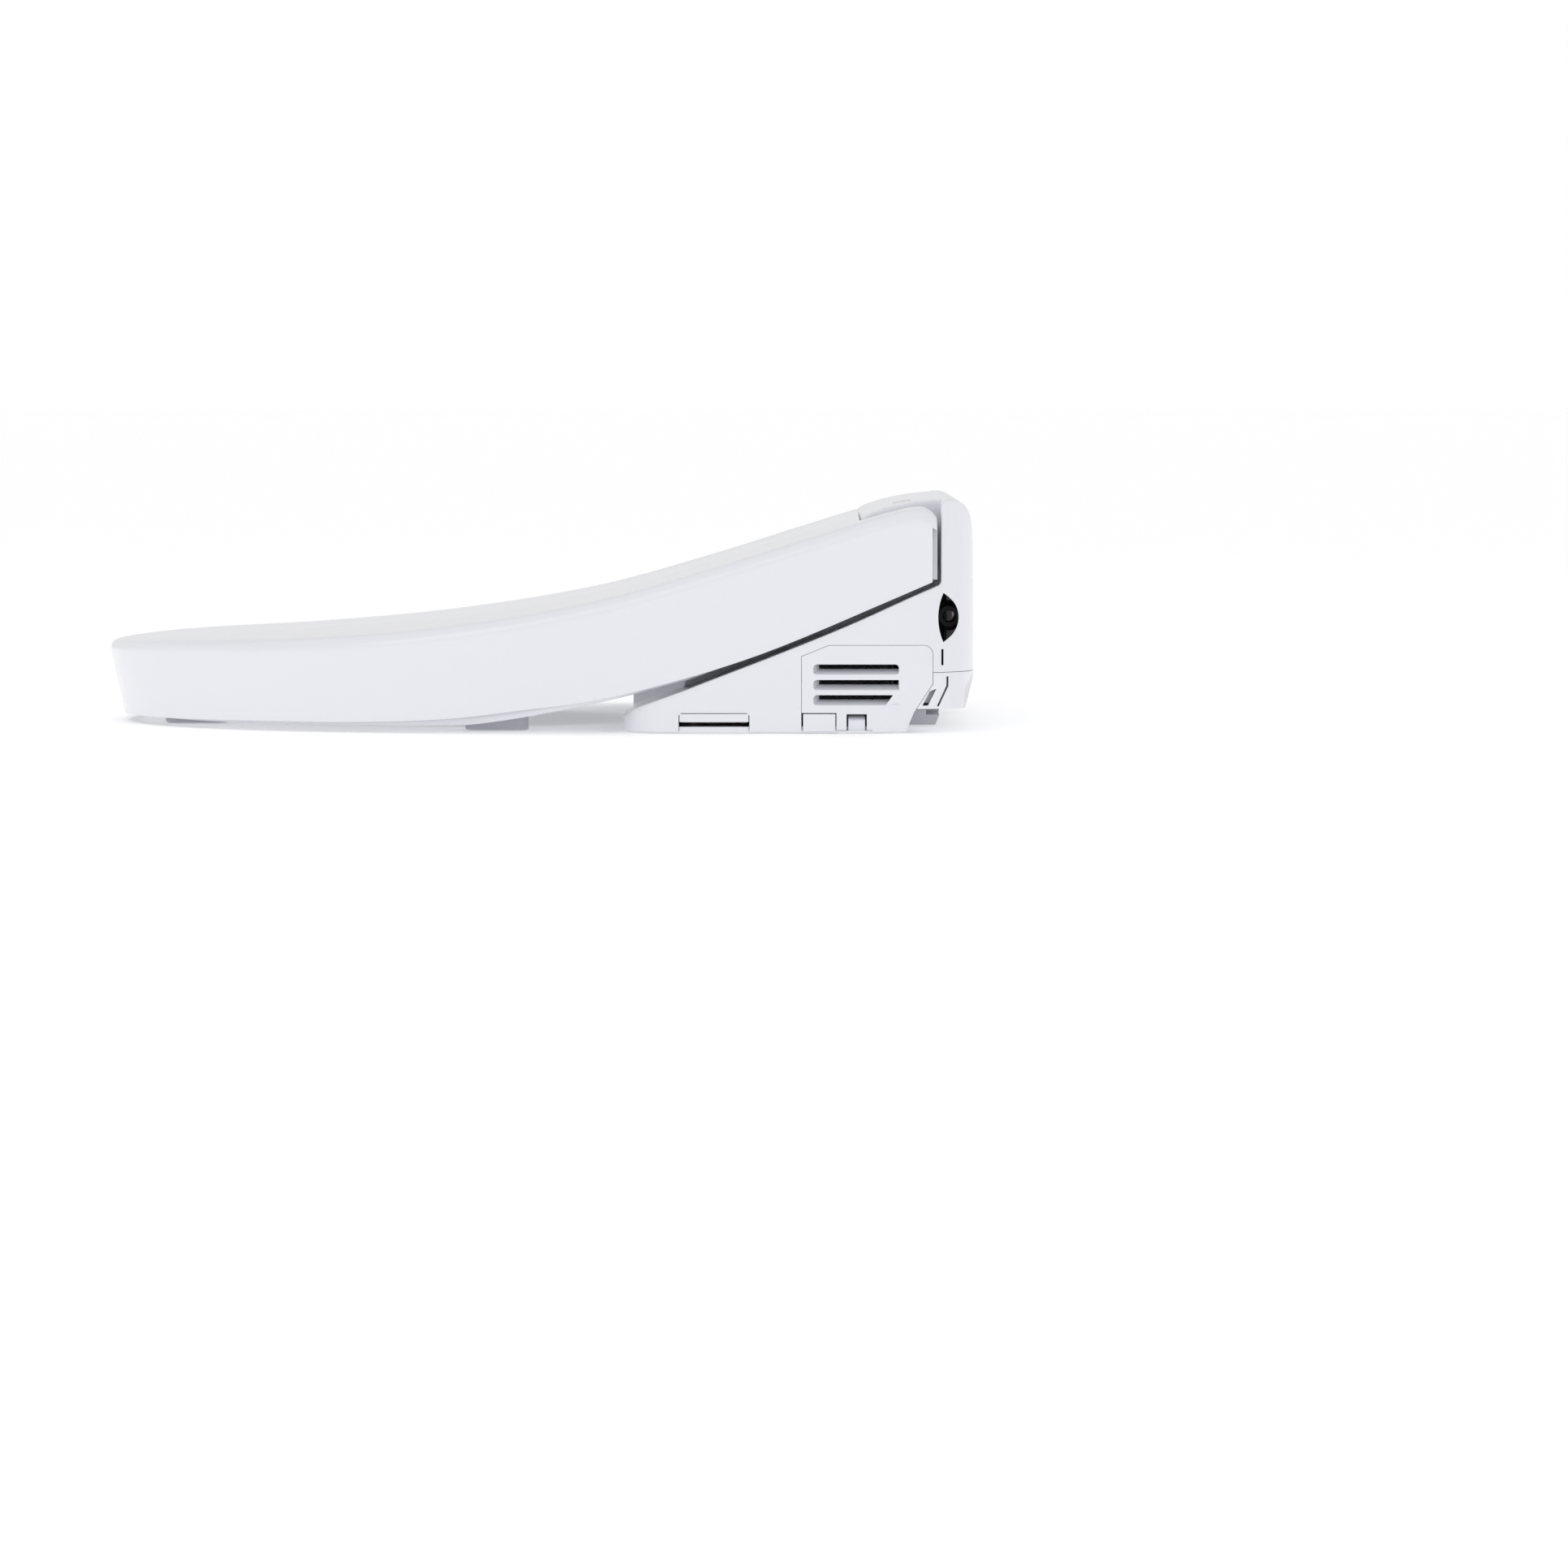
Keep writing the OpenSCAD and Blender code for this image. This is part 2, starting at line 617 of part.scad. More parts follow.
// ================= Air cleaning =================
air_at = [-16, 33];
module carbon_filter() {
    color(dark) difference() {
        box([172, -38, 15.5], [180, 6.5, 42.5]);
        for (i = [0 : 7], j = [0 : 4])
            translate([170, -34.4 + i * 5.3 + (j % 2) * 2.6, 19 + j * 5]) rotate([0, 90, 0])
                cylinder(r = 2.2, h = 14, $fn = 6);
    }
}
module air_fan_housing() {
    color([0.5, 0.52, 0.55]) difference() {
        box([146, air_at[0] - 20, 13.6], [170, air_at[0] + 20, 52]);
        rod_x(17, 148.5, 172, air_at[0], air_at[1]);
        box([148.5, air_at[0] - 8, 33], [166, air_at[0] + 17, 53]);
    }
    color([0.5, 0.52, 0.55]) rod_x(3, 147, 168, air_at[0], air_at[1]);
}
module air_fan() {
    color(dark) translate([151, air_at[0], air_at[1]]) rotate([0, 90, 0]) impeller(15.5, 14, 12);
}

// ================= Water path and electronics =================
module water_heater() {
    color([0.75, 0.76, 0.78]) difference() {
        union() {
            box([-138, -70, 6], [-97, -14, 34]);
            box([-135, -66, 33.9], [-100, -18, 37]);
        }
        for (n = [0 : 4]) box([-133 + n * 7, -71, 26], [-130 + n * 7, -13, 40]);
    }
}
module inlet_valve() {
    color([0.3, 0.32, 0.35]) {
        box([-139.6, inlet[0] - 12, inlet[1] - 7], [-112, inlet[0] + 8, inlet[1] + 8]);
        translate([-126, inlet[0] - 2, inlet[1] + 7.9]) cylinder(r = 9, h = 18);
    }
}
module flow_switch() {
    color([0.85, 0.85, 0.82]) {
        rod_x(7, -111.9, -99, inlet[0], inlet[1]);
        box([-110, inlet[0] - 5, 30], [-101, inlet[0] + 5, 42]);
    }
}
module water_pump() {
    color([0.25, 0.27, 0.3]) {
        rod_x(13, -134, -84, 36, 36);
        rod_x(6, -142, -133.9, 36, 36);
    }
}
module air_gap_valve() {
    color([0.85, 0.86, 0.88]) {
        translate([-108, 26, 56]) cylinder(r = 10, h = 40);
        translate([-108, 26, 95.9]) cylinder(r = 6, h = 5);
    }
}
module control_board() {
    color([0.1, 0.4, 0.2]) {
        box([24, 38, 46], [112, 39.6, 116]);
        for (x = [34, 54, 78]) box([x, 30, 56], [x + 12, 38.1, 70]);
        box([40, 34, 84], [66, 38.1, 100]);
    }
}
module power_board() {
    color([0.15, 0.35, 0.2]) {
        box([40, -40, 16], [130, 4, 17.6]);
        box([48, -32, 17.5], [76, -8, 40]);
        for (x = [90, 106]) translate([x, -20, 17.5]) cylinder(r = 6, h = 22);
    }
}
// A round rod swept through a list of points.
function turn(p, i) = let (v = p[min(i + 1, len(p) - 1)] - p[max(i - 1, 0)]) v / norm(v);
function rim(at, v, r, k) = let (
    side = cross(v, abs(v[2]) < 0.9 ? [0, 0, 1] : [1, 0, 0]),
    a = side / norm(side),
    b = cross(v, a))
    [for (n = [0 : k - 1]) at + r * (a * cos(n * 360 / k) + b * sin(n * 360 / k))];
module sweep(p, r, k) {
    n = len(p);
    points = [for (i = [0 : n - 1]) each rim(p[i], turn(p, i), r, k)];
    faces = concat(
        [for (i = [0 : n - 2], j = [0 : k - 1]) let (j2 = (j + 1) % k)
            each [[i * k + j, i * k + j2, (i + 1) * k + j2], [i * k + j, (i + 1) * k + j2, (i + 1) * k + j]]],
        [for (j = [1 : k - 2]) [0, j + 1, j]],
        [for (j = [1 : k - 2]) [(n - 1) * k, (n - 1) * k + j, (n - 1) * k + j + 1]]);
    polyhedron(points, faces);
}
// Points of a smooth line through the stops of a route.
function smooth(route, steps) = [for (i = [0 : len(route) - 2], s = [0 : steps - 1]) let (
    t = s / steps,
    a = route[max(i - 1, 0)],
    b = route[i],
    c = route[i + 1],
    d = route[min(i + 2, len(route) - 1)])
    0.5 * (2 * b + (c - a) * t + (2 * a - 5 * b + 4 * c - d) * t^2 + (3 * b - a - 3 * c + d) * t^3)];
module water_hoses() {
    color([0.9, 0.9, 0.92]) {
        sweep(smooth([[-118, -30, 38.2], [-117, -28, 52], [-96, -2, 80], [-50, 20, 104], [-14, 16, 106],
            [-13, 8, 98]], 4), 3, 12);
        sweep(smooth([[-142.3, 36, 36], [-150, 36, 38], [-152, 34, 58], [-140, 28, 74], [-118.3, 26, 76],
            [-118.2, 26, 76]], 4), 3, 12);
    }
}
module case_screws() {
    color([0.7, 0.7, 0.72]) both_sides() {
        for (y = [-62, -18])
            translate([130, y, 0.2]) cylinder(r = 3.5, h = 0.99);
        for (x = [60, 120])
            translate([x, unit_back - 12, under_z - 1.3]) cylinder(r = 3.5, h = 1.29);
    }
}

// ================= Seat =================
seat_mid = bend_y;     // where the seat's straight sides meet its rounded front
seat_half = 178;
seat_front = 459;
seat_back = 26;
hole_mid = -262;
hole_half = 104;
hole_front = 128;
hole_back = 118;
function oval(half, len, power, angle) =
    1 / pow(pow(abs(cos(angle)) / half, power) + pow(abs(sin(angle)) / len, power), 1 / power);
function seat_edge(a) = let (
    r = oval(seat_half, -seat_mid - seat_back, 7, a))
    a > 0 && a < 180 ? [r * cos(a), seat_mid + r * sin(a)]
    : [sign(cos(a)) * front_x(seat_half, asin(abs(sin(a)))),
        front_y(seat_front + seat_mid, asin(abs(sin(a))))];
function hole_edge(a) = let (
    r = oval(hole_half, sin(a) > 0 ? hole_back : hole_front, 2.2, a))
    [r * cos(a), hole_mid + r * sin(a)];
// Underside of the seat, clear of the unit's slope and side edges.
seat_low = [[-470, 6], [-262, 6], [-244, 6.8], [-173, 19], [-140, 27], [-117, 33], [-57, 57], [-26, 69]];
function seat_foot(x, y) = max(curve(seat_low, y), slope_z(y) + 4.5 - 1.3 * max(0, abs(x) - 146));
// A point across the seat: e millimetres in from the outer edge, or out from the hole if from_hole.
function across_seat(a, from_hole, e) = let (
    o = seat_edge(a),
    h = hole_edge(a),
    w = norm(h - o),
    s = from_hole ? 1 - e / w : e / w)
    o + (h - o) * s;
function seat_point(a, from_hole, e, drop) = let (
    p = across_seat(a, from_hole, e))
    [p[0], p[1], curve(seat_line, p[1]) - drop];
function foot_point(a, from_hole, e, up) = let (
    p = across_seat(a, from_hole, e))
    [p[0], p[1], seat_foot(p[0], p[1]) + up];
part_up = 4;       // height of the joint between the two shells above the underside
part_gap = 0.45;   // the line that shows between them
function seat_top_loop(a, t) = [
    foot_point(a, false, 0, part_up), seat_point(a, false, 0, 13), seat_point(a, false, 2, 6),
    seat_point(a, false, 6.5, 1.8), seat_point(a, false, 15, 0.2), seat_point(a, false, 34, 0),
    seat_point(a, true, 30, 1.6), seat_point(a, true, 14, 4.6), seat_point(a, true, 4.5, 10),
    seat_point(a, true, 0, 18), foot_point(a, true, 0, part_up),
    foot_point(a, true, t, part_up), seat_point(a, true, t, 19), seat_point(a, true, 7, 12.5),
    seat_point(a, true, 15, 4.6 + t), seat_point(a, true, 30, 1.6 + t), seat_point(a, false, 34, t),
    seat_point(a, false, 15, 0.2 + t), seat_point(a, false, 8, 2.2 + t), seat_point(a, false, t + 1.4, 9),
    seat_point(a, false, t, 14), foot_point(a, false, t, part_up)];
function seat_bottom_loop(a, t) = [
    for (e = [0.4, t + 0.4, 9, 18, 34]) foot_point(a, false, e, part_up - part_gap),
    for (e = [34, 18, 9, t + 0.4, 0.4]) foot_point(a, true, e, part_up - part_gap),
    foot_point(a, true, 0.4, 1.2),
    for (e = [1.6, t + 0.4, 9, 18, 34]) foot_point(a, true, e, 0),
    for (e = [34, 18, 9, t + 0.4, 1.6]) foot_point(a, false, e, 0),
    foot_point(a, false, 0.4, 1.2)];
function seat_heater_loop(a, t) = [
    seat_point(a, false, 15, t + 1.9), seat_point(a, false, 34, t + 1.7), seat_point(a, true, 30, t + 3.3),
    seat_point(a, true, 15, t + 6.3), seat_point(a, true, 15, t + 7.5), seat_point(a, true, 30, t + 4.5),
    seat_point(a, false, 34, t + 2.9), seat_point(a, false, 15, t + 3.1)];
seat_steps = 72;
// Joins closed loops into a ring.
module ring(loops) {
    n = len(loops);
    k = len(loops[0]);
    points = [for (loop = loops) each loop];
    faces = [for (i = [0 : n - 1], j = [0 : k - 1]) let (
        i2 = (i + 1) % n,
        j2 = (j + 1) % k)
        each [[i * k + j, i * k + j2, i2 * k + j2], [i * k + j, i2 * k + j2, i2 * k + j]]];
    polyhedron(points, faces);
}
module seat_top() {
    color(white) ring([for (n = [0 : seat_steps - 1]) seat_top_loop(n * 360 / seat_steps, seat_wall)]);
}
module seat_bottom() {
    color(white) ring([for (n = [0 : seat_steps - 1]) seat_bottom_loop(n * 360 / seat_steps, seat_wall)]);
}
module seat_heater() {
    color([0.75, 0.5, 0.3])
        ring([for (n = [0 : seat_steps - 1]) seat_heater_loop(n * 360 / seat_steps, seat_wall)]);
}
bumper_at = [[62, -418], [146, -230.5]];
module seat_bumpers() {
    color([0.82, 0.83, 0.86]) both_sides() for (p = bumper_at) intersection() {
        union() {
            for (end = [-12, 12]) translate([p[0], p[1] + end, 0]) cylinder(r = 7, h = 20);
            box([p[0] - 7, p[1] - 12, 0], [p[0] + 7, p[1] + 12, 20]);
        }
        across(420) polygon(concat([[p[1] + 20, 0.05], [p[1] - 20, 0.05]],
            [for (dy = [-20 : 5 : 20]) [p[1] + dy, seat_foot(p[0], p[1] + dy) - 0.15]]));
    }
}
arm_span = [147, 161];
module seat_hinge_arms() {
    color(white) both_sides() difference() {
        union() {
            rod_x(11, arm_span[0], arm_span[1], hinge[0], hinge[1]);
            translate([(arm_span[0] + arm_span[1]) / 2, 0, 0]) across(arm_span[1] - arm_span[0])
                polygon([[hinge[0] + 1, hinge[1] - 11], [hinge[0] + 1, hinge[1] + 10.9], [4, 123],
                    [-26, 108], [-44, 99], [-44, 92], [-26, 96], [0, 106]]);
        }
        rod_x(pin_r + pin_gap, arm_span[0] - 1, arm_span[1] + 1, hinge[0], hinge[1]);
    }
}

// ================= Lid =================
crown = 4;              // how far the lid's sides fall below its middle line
edge_r = 8;             // rounding between the lid's top and its skirt
draft_side = 3;         // how far the skirt leans in at its lower edge, at the sides
draft_front = 8.5;      // and at the front tip
notch_y = -15;          // front edge of that notch
ear_back_y = [29.5, 32];// rear ends of the skirt and of the top above it
side_ys = [22, 10, -2, notch_y, -40, -66, -92, -120, -148, -175];
arc_steps = 14;
cols = 2 * (len(side_ys) + arc_steps + 1);      // steps around the lid, from one ear to the other
notch_cols = 4;
function lid_z(x, y) = curve(lid_top, y) - crown * pow(min(1, abs(x) / lid_half), 2);
// Outline point of column c, on the +X half, inset by dw at the sides and dl at the front.
function lid_edge(c, dw, dl, back) = let (n = len(side_ys))
    c == 0 ? [lid_half - 1.5 - dw, back]
    : c <= n ? let (y = side_ys[c - 1]) [lid_half - dw - 1.5 * pow((y - bend_y) / 231, 2), y]
    : let (a = (c - n - 1) * 90 / arc_steps)
        [front_x(lid_half - dw, a), front_y(lid_front + bend_y - dl, a)];
function spine_y(c) = let (n = len(side_ys))
    c == 0 ? 32 : c <= n ? side_ys[c - 1] : bend_y - 170 * sin((c - n - 1) * 90 / arc_steps);
// Rows from the skirt's lower edge up and over to the middle line. t is 0 outside, the wall inside.
skirt_rows = 3;
edge_angles = [20, 40, 60, 80];
inner_rows = [0.0994, 0.3, 0.55, 0.8];
rows = skirt_rows + len(edge_angles) + len(inner_rows);
function lid_row(r, c, t) = let (half = cols / 2)
    c > half ? let (p = lid_row(r, cols - c, t)) [-p[0], p[1], p[2]]
    : r < skirt_rows ? let (
        f = r / (skirt_rows - 1),
        e = lid_edge(c, t + draft_side * (1 - f), t + draft_front * (1 - f), ear_back_y[0]),
        low = curve(lid_low, e[1]),
        high = lid_z(e[0], e[1]) - edge_r)
        [e[0], e[1], low + (high - low) * f]
    : r < skirt_rows + len(edge_angles) ? let (
        a = edge_angles[r - skirt_rows],
        inset = t + (edge_r - t) * (1 - cos(a)),
        e = lid_edge(c, inset, inset, ear_back_y[1]))
        [e[0], e[1], lid_z(e[0], e[1]) - edge_r + (edge_r - t) * sin(a)]
    : let (
        f = inner_rows[r - skirt_rows - len(edge_angles)],
        e = lid_edge(c, edge_r, edge_r, ear_back_y[1]),
        x = e[0] * (1 - f),
        y = e[1] * (1 - f) + spine_y(c) * f)
        [x, y, lid_z(x, y) - t];
function spine_point(c, t) = [0, spine_y(c), lid_z(0, spine_y(c)) - t];
// The notch leaves out the inner rows behind its front edge.
first_notch_row = skirt_rows + len(edge_angles);
function in_lid(r, c) = r >= 0 && r < rows && c >= 0 && c < cols
    && !(r >= first_notch_row && (c < notch_cols || c >= cols - notch_cols));
module lid_shell() {
    layer = rows * (cols + 1) + cols / 2 + 1;
    points = [for (t = [0, lid_wall]) each concat(
        [for (r = [0 : rows - 1], c = [0 : cols]) lid_row(r, c, t)],
        [for (c = [0 : cols / 2]) spine_point(c, t)])];
    function at(k, r, c) = k * layer + (r < rows ? r * (cols + 1) + c : rows * (cols + 1) + min(c, cols - c));
    function two(a, b, c, d) = [[a, b, c], [a, c, d]];
    faces = [for (r = [0 : rows - 1], c = [0 : cols - 1]) if (in_lid(r, c)) each concat(
        two(at(0, r, c), at(0, r + 1, c), at(0, r + 1, c + 1), at(0, r, c + 1)),
        two(at(1, r, c), at(1, r, c + 1), at(1, r + 1, c + 1), at(1, r + 1, c)),
        in_lid(r - 1, c) ? [] : two(at(0, r, c), at(0, r, c + 1), at(1, r, c + 1), at(1, r, c)),
        r == rows - 1 || in_lid(r + 1, c) ? []
            : two(at(0, r + 1, c + 1), at(0, r + 1, c), at(1, r + 1, c), at(1, r + 1, c + 1)),
        in_lid(r, c - 1) ? [] : two(at(0, r + 1, c), at(0, r, c), at(1, r, c), at(1, r + 1, c)),
        in_lid(r, c + 1) ? []
            : two(at(0, r, c + 1), at(0, r + 1, c + 1), at(1, r + 1, c + 1), at(1, r, c + 1)))];
    color(white) polyhedron(points, faces);
}
module lid_bumpers() {
    color([0.82, 0.83, 0.86]) both_sides() for (p = [[60, -428], [150, -250]])
        translate([p[0], p[1], curve(seat_line, p[1]) + 0.4])
            cylinder(r = 6, h = lid_z(p[0], p[1]) - curve(seat_line, p[1]) - 2);
}
module lid_hinge_arms() {
    color(white) both_sides() difference() {
        union() {
            rod_x(9.5, 165, 182, hinge[0], hinge[1]);
            translate([167.5, 0, 0]) across(5)
                polygon([[hinge[0] + 8, hinge[1] - 5], [hinge[0] + 8, hinge[1] + 6],
                    [hinge[0], lid_z(167, 20) - 3.4], [notch_y, lid_z(167, notch_y) - 3.6],
                    [-36, lid_z(167, -36) - 3.8], [-36, lid_z(167, -36) - 9],
                    [0, hinge[1] - 6], [hinge[0], hinge[1] - 9]]);
        }
        rod_x(pin_r + 0.01, 160, 182.5, hinge[0], hinge[1]);
    }
    // wall that closes the end of each ear
    color(white) both_sides() box([164.5, 26.6, 91], [184.6, 32.4, 126]);
}

base_plate();
base_pads();
lower_case();
upper_cover();
filter_cover();
service_cover();
hinge_bushes();
lid_damper();
seat_damper();
indicator_window();
seat_sensor_window();
cord_gland();
water_inlet();
drain_knob();
case_screws();
release_button();
release_spring();
filter_tray();
tray_mesh();
wand_guide();
wand_tube();
wand_tip();
wand_motor();
wand_pinion();
dryer_housing();
dryer_fan();
dryer_flap();
dryer_heater();
carbon_filter();
air_fan();
air_fan_housing();
water_heater();
inlet_valve();
water_pump();
air_gap_valve();
flow_switch();
control_board();
power_board();
water_hoses();
seat_top();
seat_bottom();
seat_heater();
seat_bumpers();
seat_hinge_arms();
lid_shell();
lid_bumpers();
lid_hinge_arms();
lid_hinge_pins();
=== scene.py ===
import math

import bmesh
import bpy
import numpy as np
from mathutils import Matrix, Vector


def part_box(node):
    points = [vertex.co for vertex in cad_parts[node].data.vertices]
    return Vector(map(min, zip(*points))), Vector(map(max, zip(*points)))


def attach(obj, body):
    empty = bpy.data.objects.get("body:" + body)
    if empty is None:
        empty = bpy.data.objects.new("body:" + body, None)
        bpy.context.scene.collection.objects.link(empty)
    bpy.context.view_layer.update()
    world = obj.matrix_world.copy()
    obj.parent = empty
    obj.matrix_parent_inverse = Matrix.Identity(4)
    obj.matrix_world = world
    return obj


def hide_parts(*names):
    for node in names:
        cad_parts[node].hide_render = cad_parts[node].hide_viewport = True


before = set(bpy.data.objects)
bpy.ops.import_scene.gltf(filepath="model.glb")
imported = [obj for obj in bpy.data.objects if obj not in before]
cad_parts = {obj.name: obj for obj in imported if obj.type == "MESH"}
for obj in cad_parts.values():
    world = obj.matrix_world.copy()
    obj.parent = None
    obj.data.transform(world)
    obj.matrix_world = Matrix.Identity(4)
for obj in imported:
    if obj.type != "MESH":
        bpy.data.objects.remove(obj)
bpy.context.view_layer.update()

MM = 0.001

# ---- Camera ----
# A long lens at the height of a person's knee, looking along -X at the seat's left side
# and a little down, as a catalogue side view is taken.
camera_data = bpy.data.cameras.new("side_view")
camera_data.sensor_width = 36
camera_data.lens = 147.8
camera_data.clip_end = 100
camera = bpy.data.objects.new("side_view", camera_data)
camera.location = (4.0, -0.0585, 0.2032)
camera.rotation_euler = (math.radians(90 - 3.503), 0, math.radians(90))
bpy.context.collection.objects.link(camera)
bpy.context.scene.camera = camera


# ---- Floor and studio light ----
# A pale translucent sheet, faintly lit from below, a white tent all round it, an evenly lit
# ceiling, a softbox above the camera's side, and a weak one behind.
def paint(name, colour, **sockets):
    """A new material, its Principled shader and its node tree."""
    material = bpy.data.materials.new(name)
    material.use_nodes = True
    shader = material.node_tree.nodes["Principled BSDF"]
    shader.inputs["Base Color"].default_value = (*colour, 1)
    for socket, value in sockets.items():
        shader.inputs[socket.replace("_", " ")].default_value = value
    return material, shader, material.node_tree


def join(tree, source, target):
    tree.links.new(source, target)


def floor_sheet():
    material, shader, tree = paint("studio_paper", (0.93, 0.93, 0.93), Roughness=0.7,
                                   Emission_Strength=0.26)
    shader.inputs["Emission Color"].default_value = (1, 1, 1, 1)
    noise = tree.nodes.new("ShaderNodeTexNoise")
    noise.inputs["Scale"].default_value = 900
    bump = tree.nodes.new("ShaderNodeBump")
    bump.inputs["Distance"].default_value = 0.0001
    bump.inputs["Strength"].default_value = 0.15
    join(tree, noise.outputs["Fac"], bump.inputs["Height"])
    join(tree, bump.outputs["Normal"], shader.inputs["Normal"])
    mesh = bpy.data.meshes.new("floor")
    mesh.from_pydata([(-60, -60, 0), (60, -60, 0), (60, 60, 0), (-60, 60, 0)], [], [(0, 1, 2, 3)])
    mesh.materials.append(material)
    floor = bpy.data.objects.new("floor", mesh)
    floor.location.z = -0.0004
    bpy.context.collection.objects.link(floor)


def lamp(name, place, target, size, power):
    data = bpy.data.lights.new(name, "AREA")
    data.shape, data.size, data.energy = "DISK", size, power
    lamp_object = bpy.data.objects.new(name, data)
    lamp_object.location = place
    aim = Vector(target) - Vector(place)
    lamp_object.rotation_euler = aim.to_track_quat("-Z", "Y").to_euler()
    bpy.context.collection.objects.link(lamp_object)


def ceiling_light():
    """A whole lit ceiling: even light from above with very soft shadows."""
    data = bpy.data.lights.new("lit_ceiling", "SUN")
    data.energy, data.angle = 0.3, math.radians(70)
    bpy.context.collection.objects.link(bpy.data.objects.new("lit_ceiling", data))


def studio_tent():
    """White walls and a dimmer top; they look brighter than the light they give."""
    world = bpy.data.worlds.new("studio_tent")
    world.use_nodes = True
    tree = world.node_tree
    background = tree.nodes["Background"]
    background.inputs["Color"].default_value = (1, 1, 1, 1)
    rays = tree.nodes.new("ShaderNodeLightPath")
    strength = tree.nodes.new("ShaderNodeMapRange")
    strength.inputs["To Max"].default_value = 1.0
    place = tree.nodes.new("ShaderNodeTexCoord")
    parts = tree.nodes.new("ShaderNodeSeparateXYZ")
    join(tree, place.outputs["Generated"], parts.inputs["Vector"])
    height = tree.nodes.new("ShaderNodeMapRange")
    for socket, value in (("From Min", 0.3), ("From Max", 0.9), ("To Min", 0.8), ("To Max", 0.62)):
        height.inputs[socket].default_value = value
    join(tree, parts.outputs["Z"], height.inputs["Value"])
    join(tree, height.outputs["Result"], strength.inputs["To Min"])
    join(tree, rays.outputs["Is Camera Ray"], strength.inputs["Value"])
    join(tree, strength.outputs["Result"], background.inputs["Strength"])
    bpy.context.scene.world = world


floor_sheet()
ceiling_light()
studio_tent()
lamp("front_softbox", (2.2, -1.2, 2.0), (0, -0.2, 0.05), 1.5, 6)
lamp("rear_softbox", (-1.4, 1.8, 1.2), (0, -0.1, 0.05), 1.0, 2)
bpy.context.scene.view_settings.view_transform = "Standard"


# ---- Moulded white plastic ----
# The lid, the seat and the covers are injection moulded in one glossy white plastic. The skin
# has a faint orange peel from the mould, fine wiping marks and the least trace of dust.
def shader_group(name, inputs, outputs):
    """An empty node group with named sockets."""
    group = bpy.data.node_groups.new(name, "ShaderNodeTree")
    for socket, kind, value in inputs:
        made = group.interface.new_socket(socket, in_out="INPUT", socket_type=kind)
        made.default_value = value
    for socket, kind in outputs:
        group.interface.new_socket(socket, in_out="OUTPUT", socket_type=kind)
    start = group.nodes.new("NodeGroupInput")
    end = group.nodes.new("NodeGroupOutput")
    return group, start, end


def math_node(tree, operation, a, b):
    node = tree.nodes.new("ShaderNodeMath")
    node.operation = operation
    for socket, value in zip(node.inputs, (a, b)):
        if isinstance(value, (int, float)):
            socket.default_value = value
        else:
            join(tree, value, socket)
    return node.outputs[0]


def noise_at(tree, scale, detail, stretch=None):
    """Noise on the piece's own coordinates; stretch squeezes it along X, Y and Z."""
    place = tree.nodes.new("ShaderNodeTexCoord")
    noise = tree.nodes.new("ShaderNodeTexNoise")
    noise.inputs["Detail"].default_value = detail
    if isinstance(scale, (int, float)):
        noise.inputs["Scale"].default_value = scale
    else:
        join(tree, scale, noise.inputs["Scale"])
    if stretch:
        mapping = tree.nodes.new("ShaderNodeMapping")
        mapping.inputs["Scale"].default_value = stretch
        join(tree, place.outputs["Object"], mapping.inputs["Vector"])
        join(tree, mapping.outputs["Vector"], noise.inputs["Vector"])
    else:
        join(tree, place.outputs["Object"], noise.inputs["Vector"])
    return noise.outputs["Fac"]


def moulded_skin_group():
    """The skin of a moulding: how rough it is and its fine relief."""
    group, start, end = shader_group(
        "moulded_skin",
        [("Roughness", "NodeSocketFloat", 0.2), ("Unevenness", "NodeSocketFloat", 0.05),
         ("Peel Scale", "NodeSocketFloat", 240.0), ("Peel Depth", "NodeSocketFloat", 0.3)],
        [("Roughness", "NodeSocketFloat"), ("Height", "NodeSocketFloat")])
    patches = noise_at(group, 9.0, 4.0)
    wipes = noise_at(group, 60.0, 6.0, (0.2, 1.0, 1.0))
    mixed = math_node(group, "ADD", patches, wipes)
    centred = math_node(group, "SUBTRACT", mixed, 1.0)
    swing = math_node(group, "MULTIPLY", centred, start.outputs["Unevenness"])
    join(group, math_node(group, "ADD", swing, start.outputs["Roughness"]), end.inputs["Roughness"])
    peel = noise_at(group, start.outputs["Peel Scale"], 2.0)
    join(group, math_node(group, "MULTIPLY", peel, start.outputs["Peel Depth"]), end.inputs["Height"])
    return group


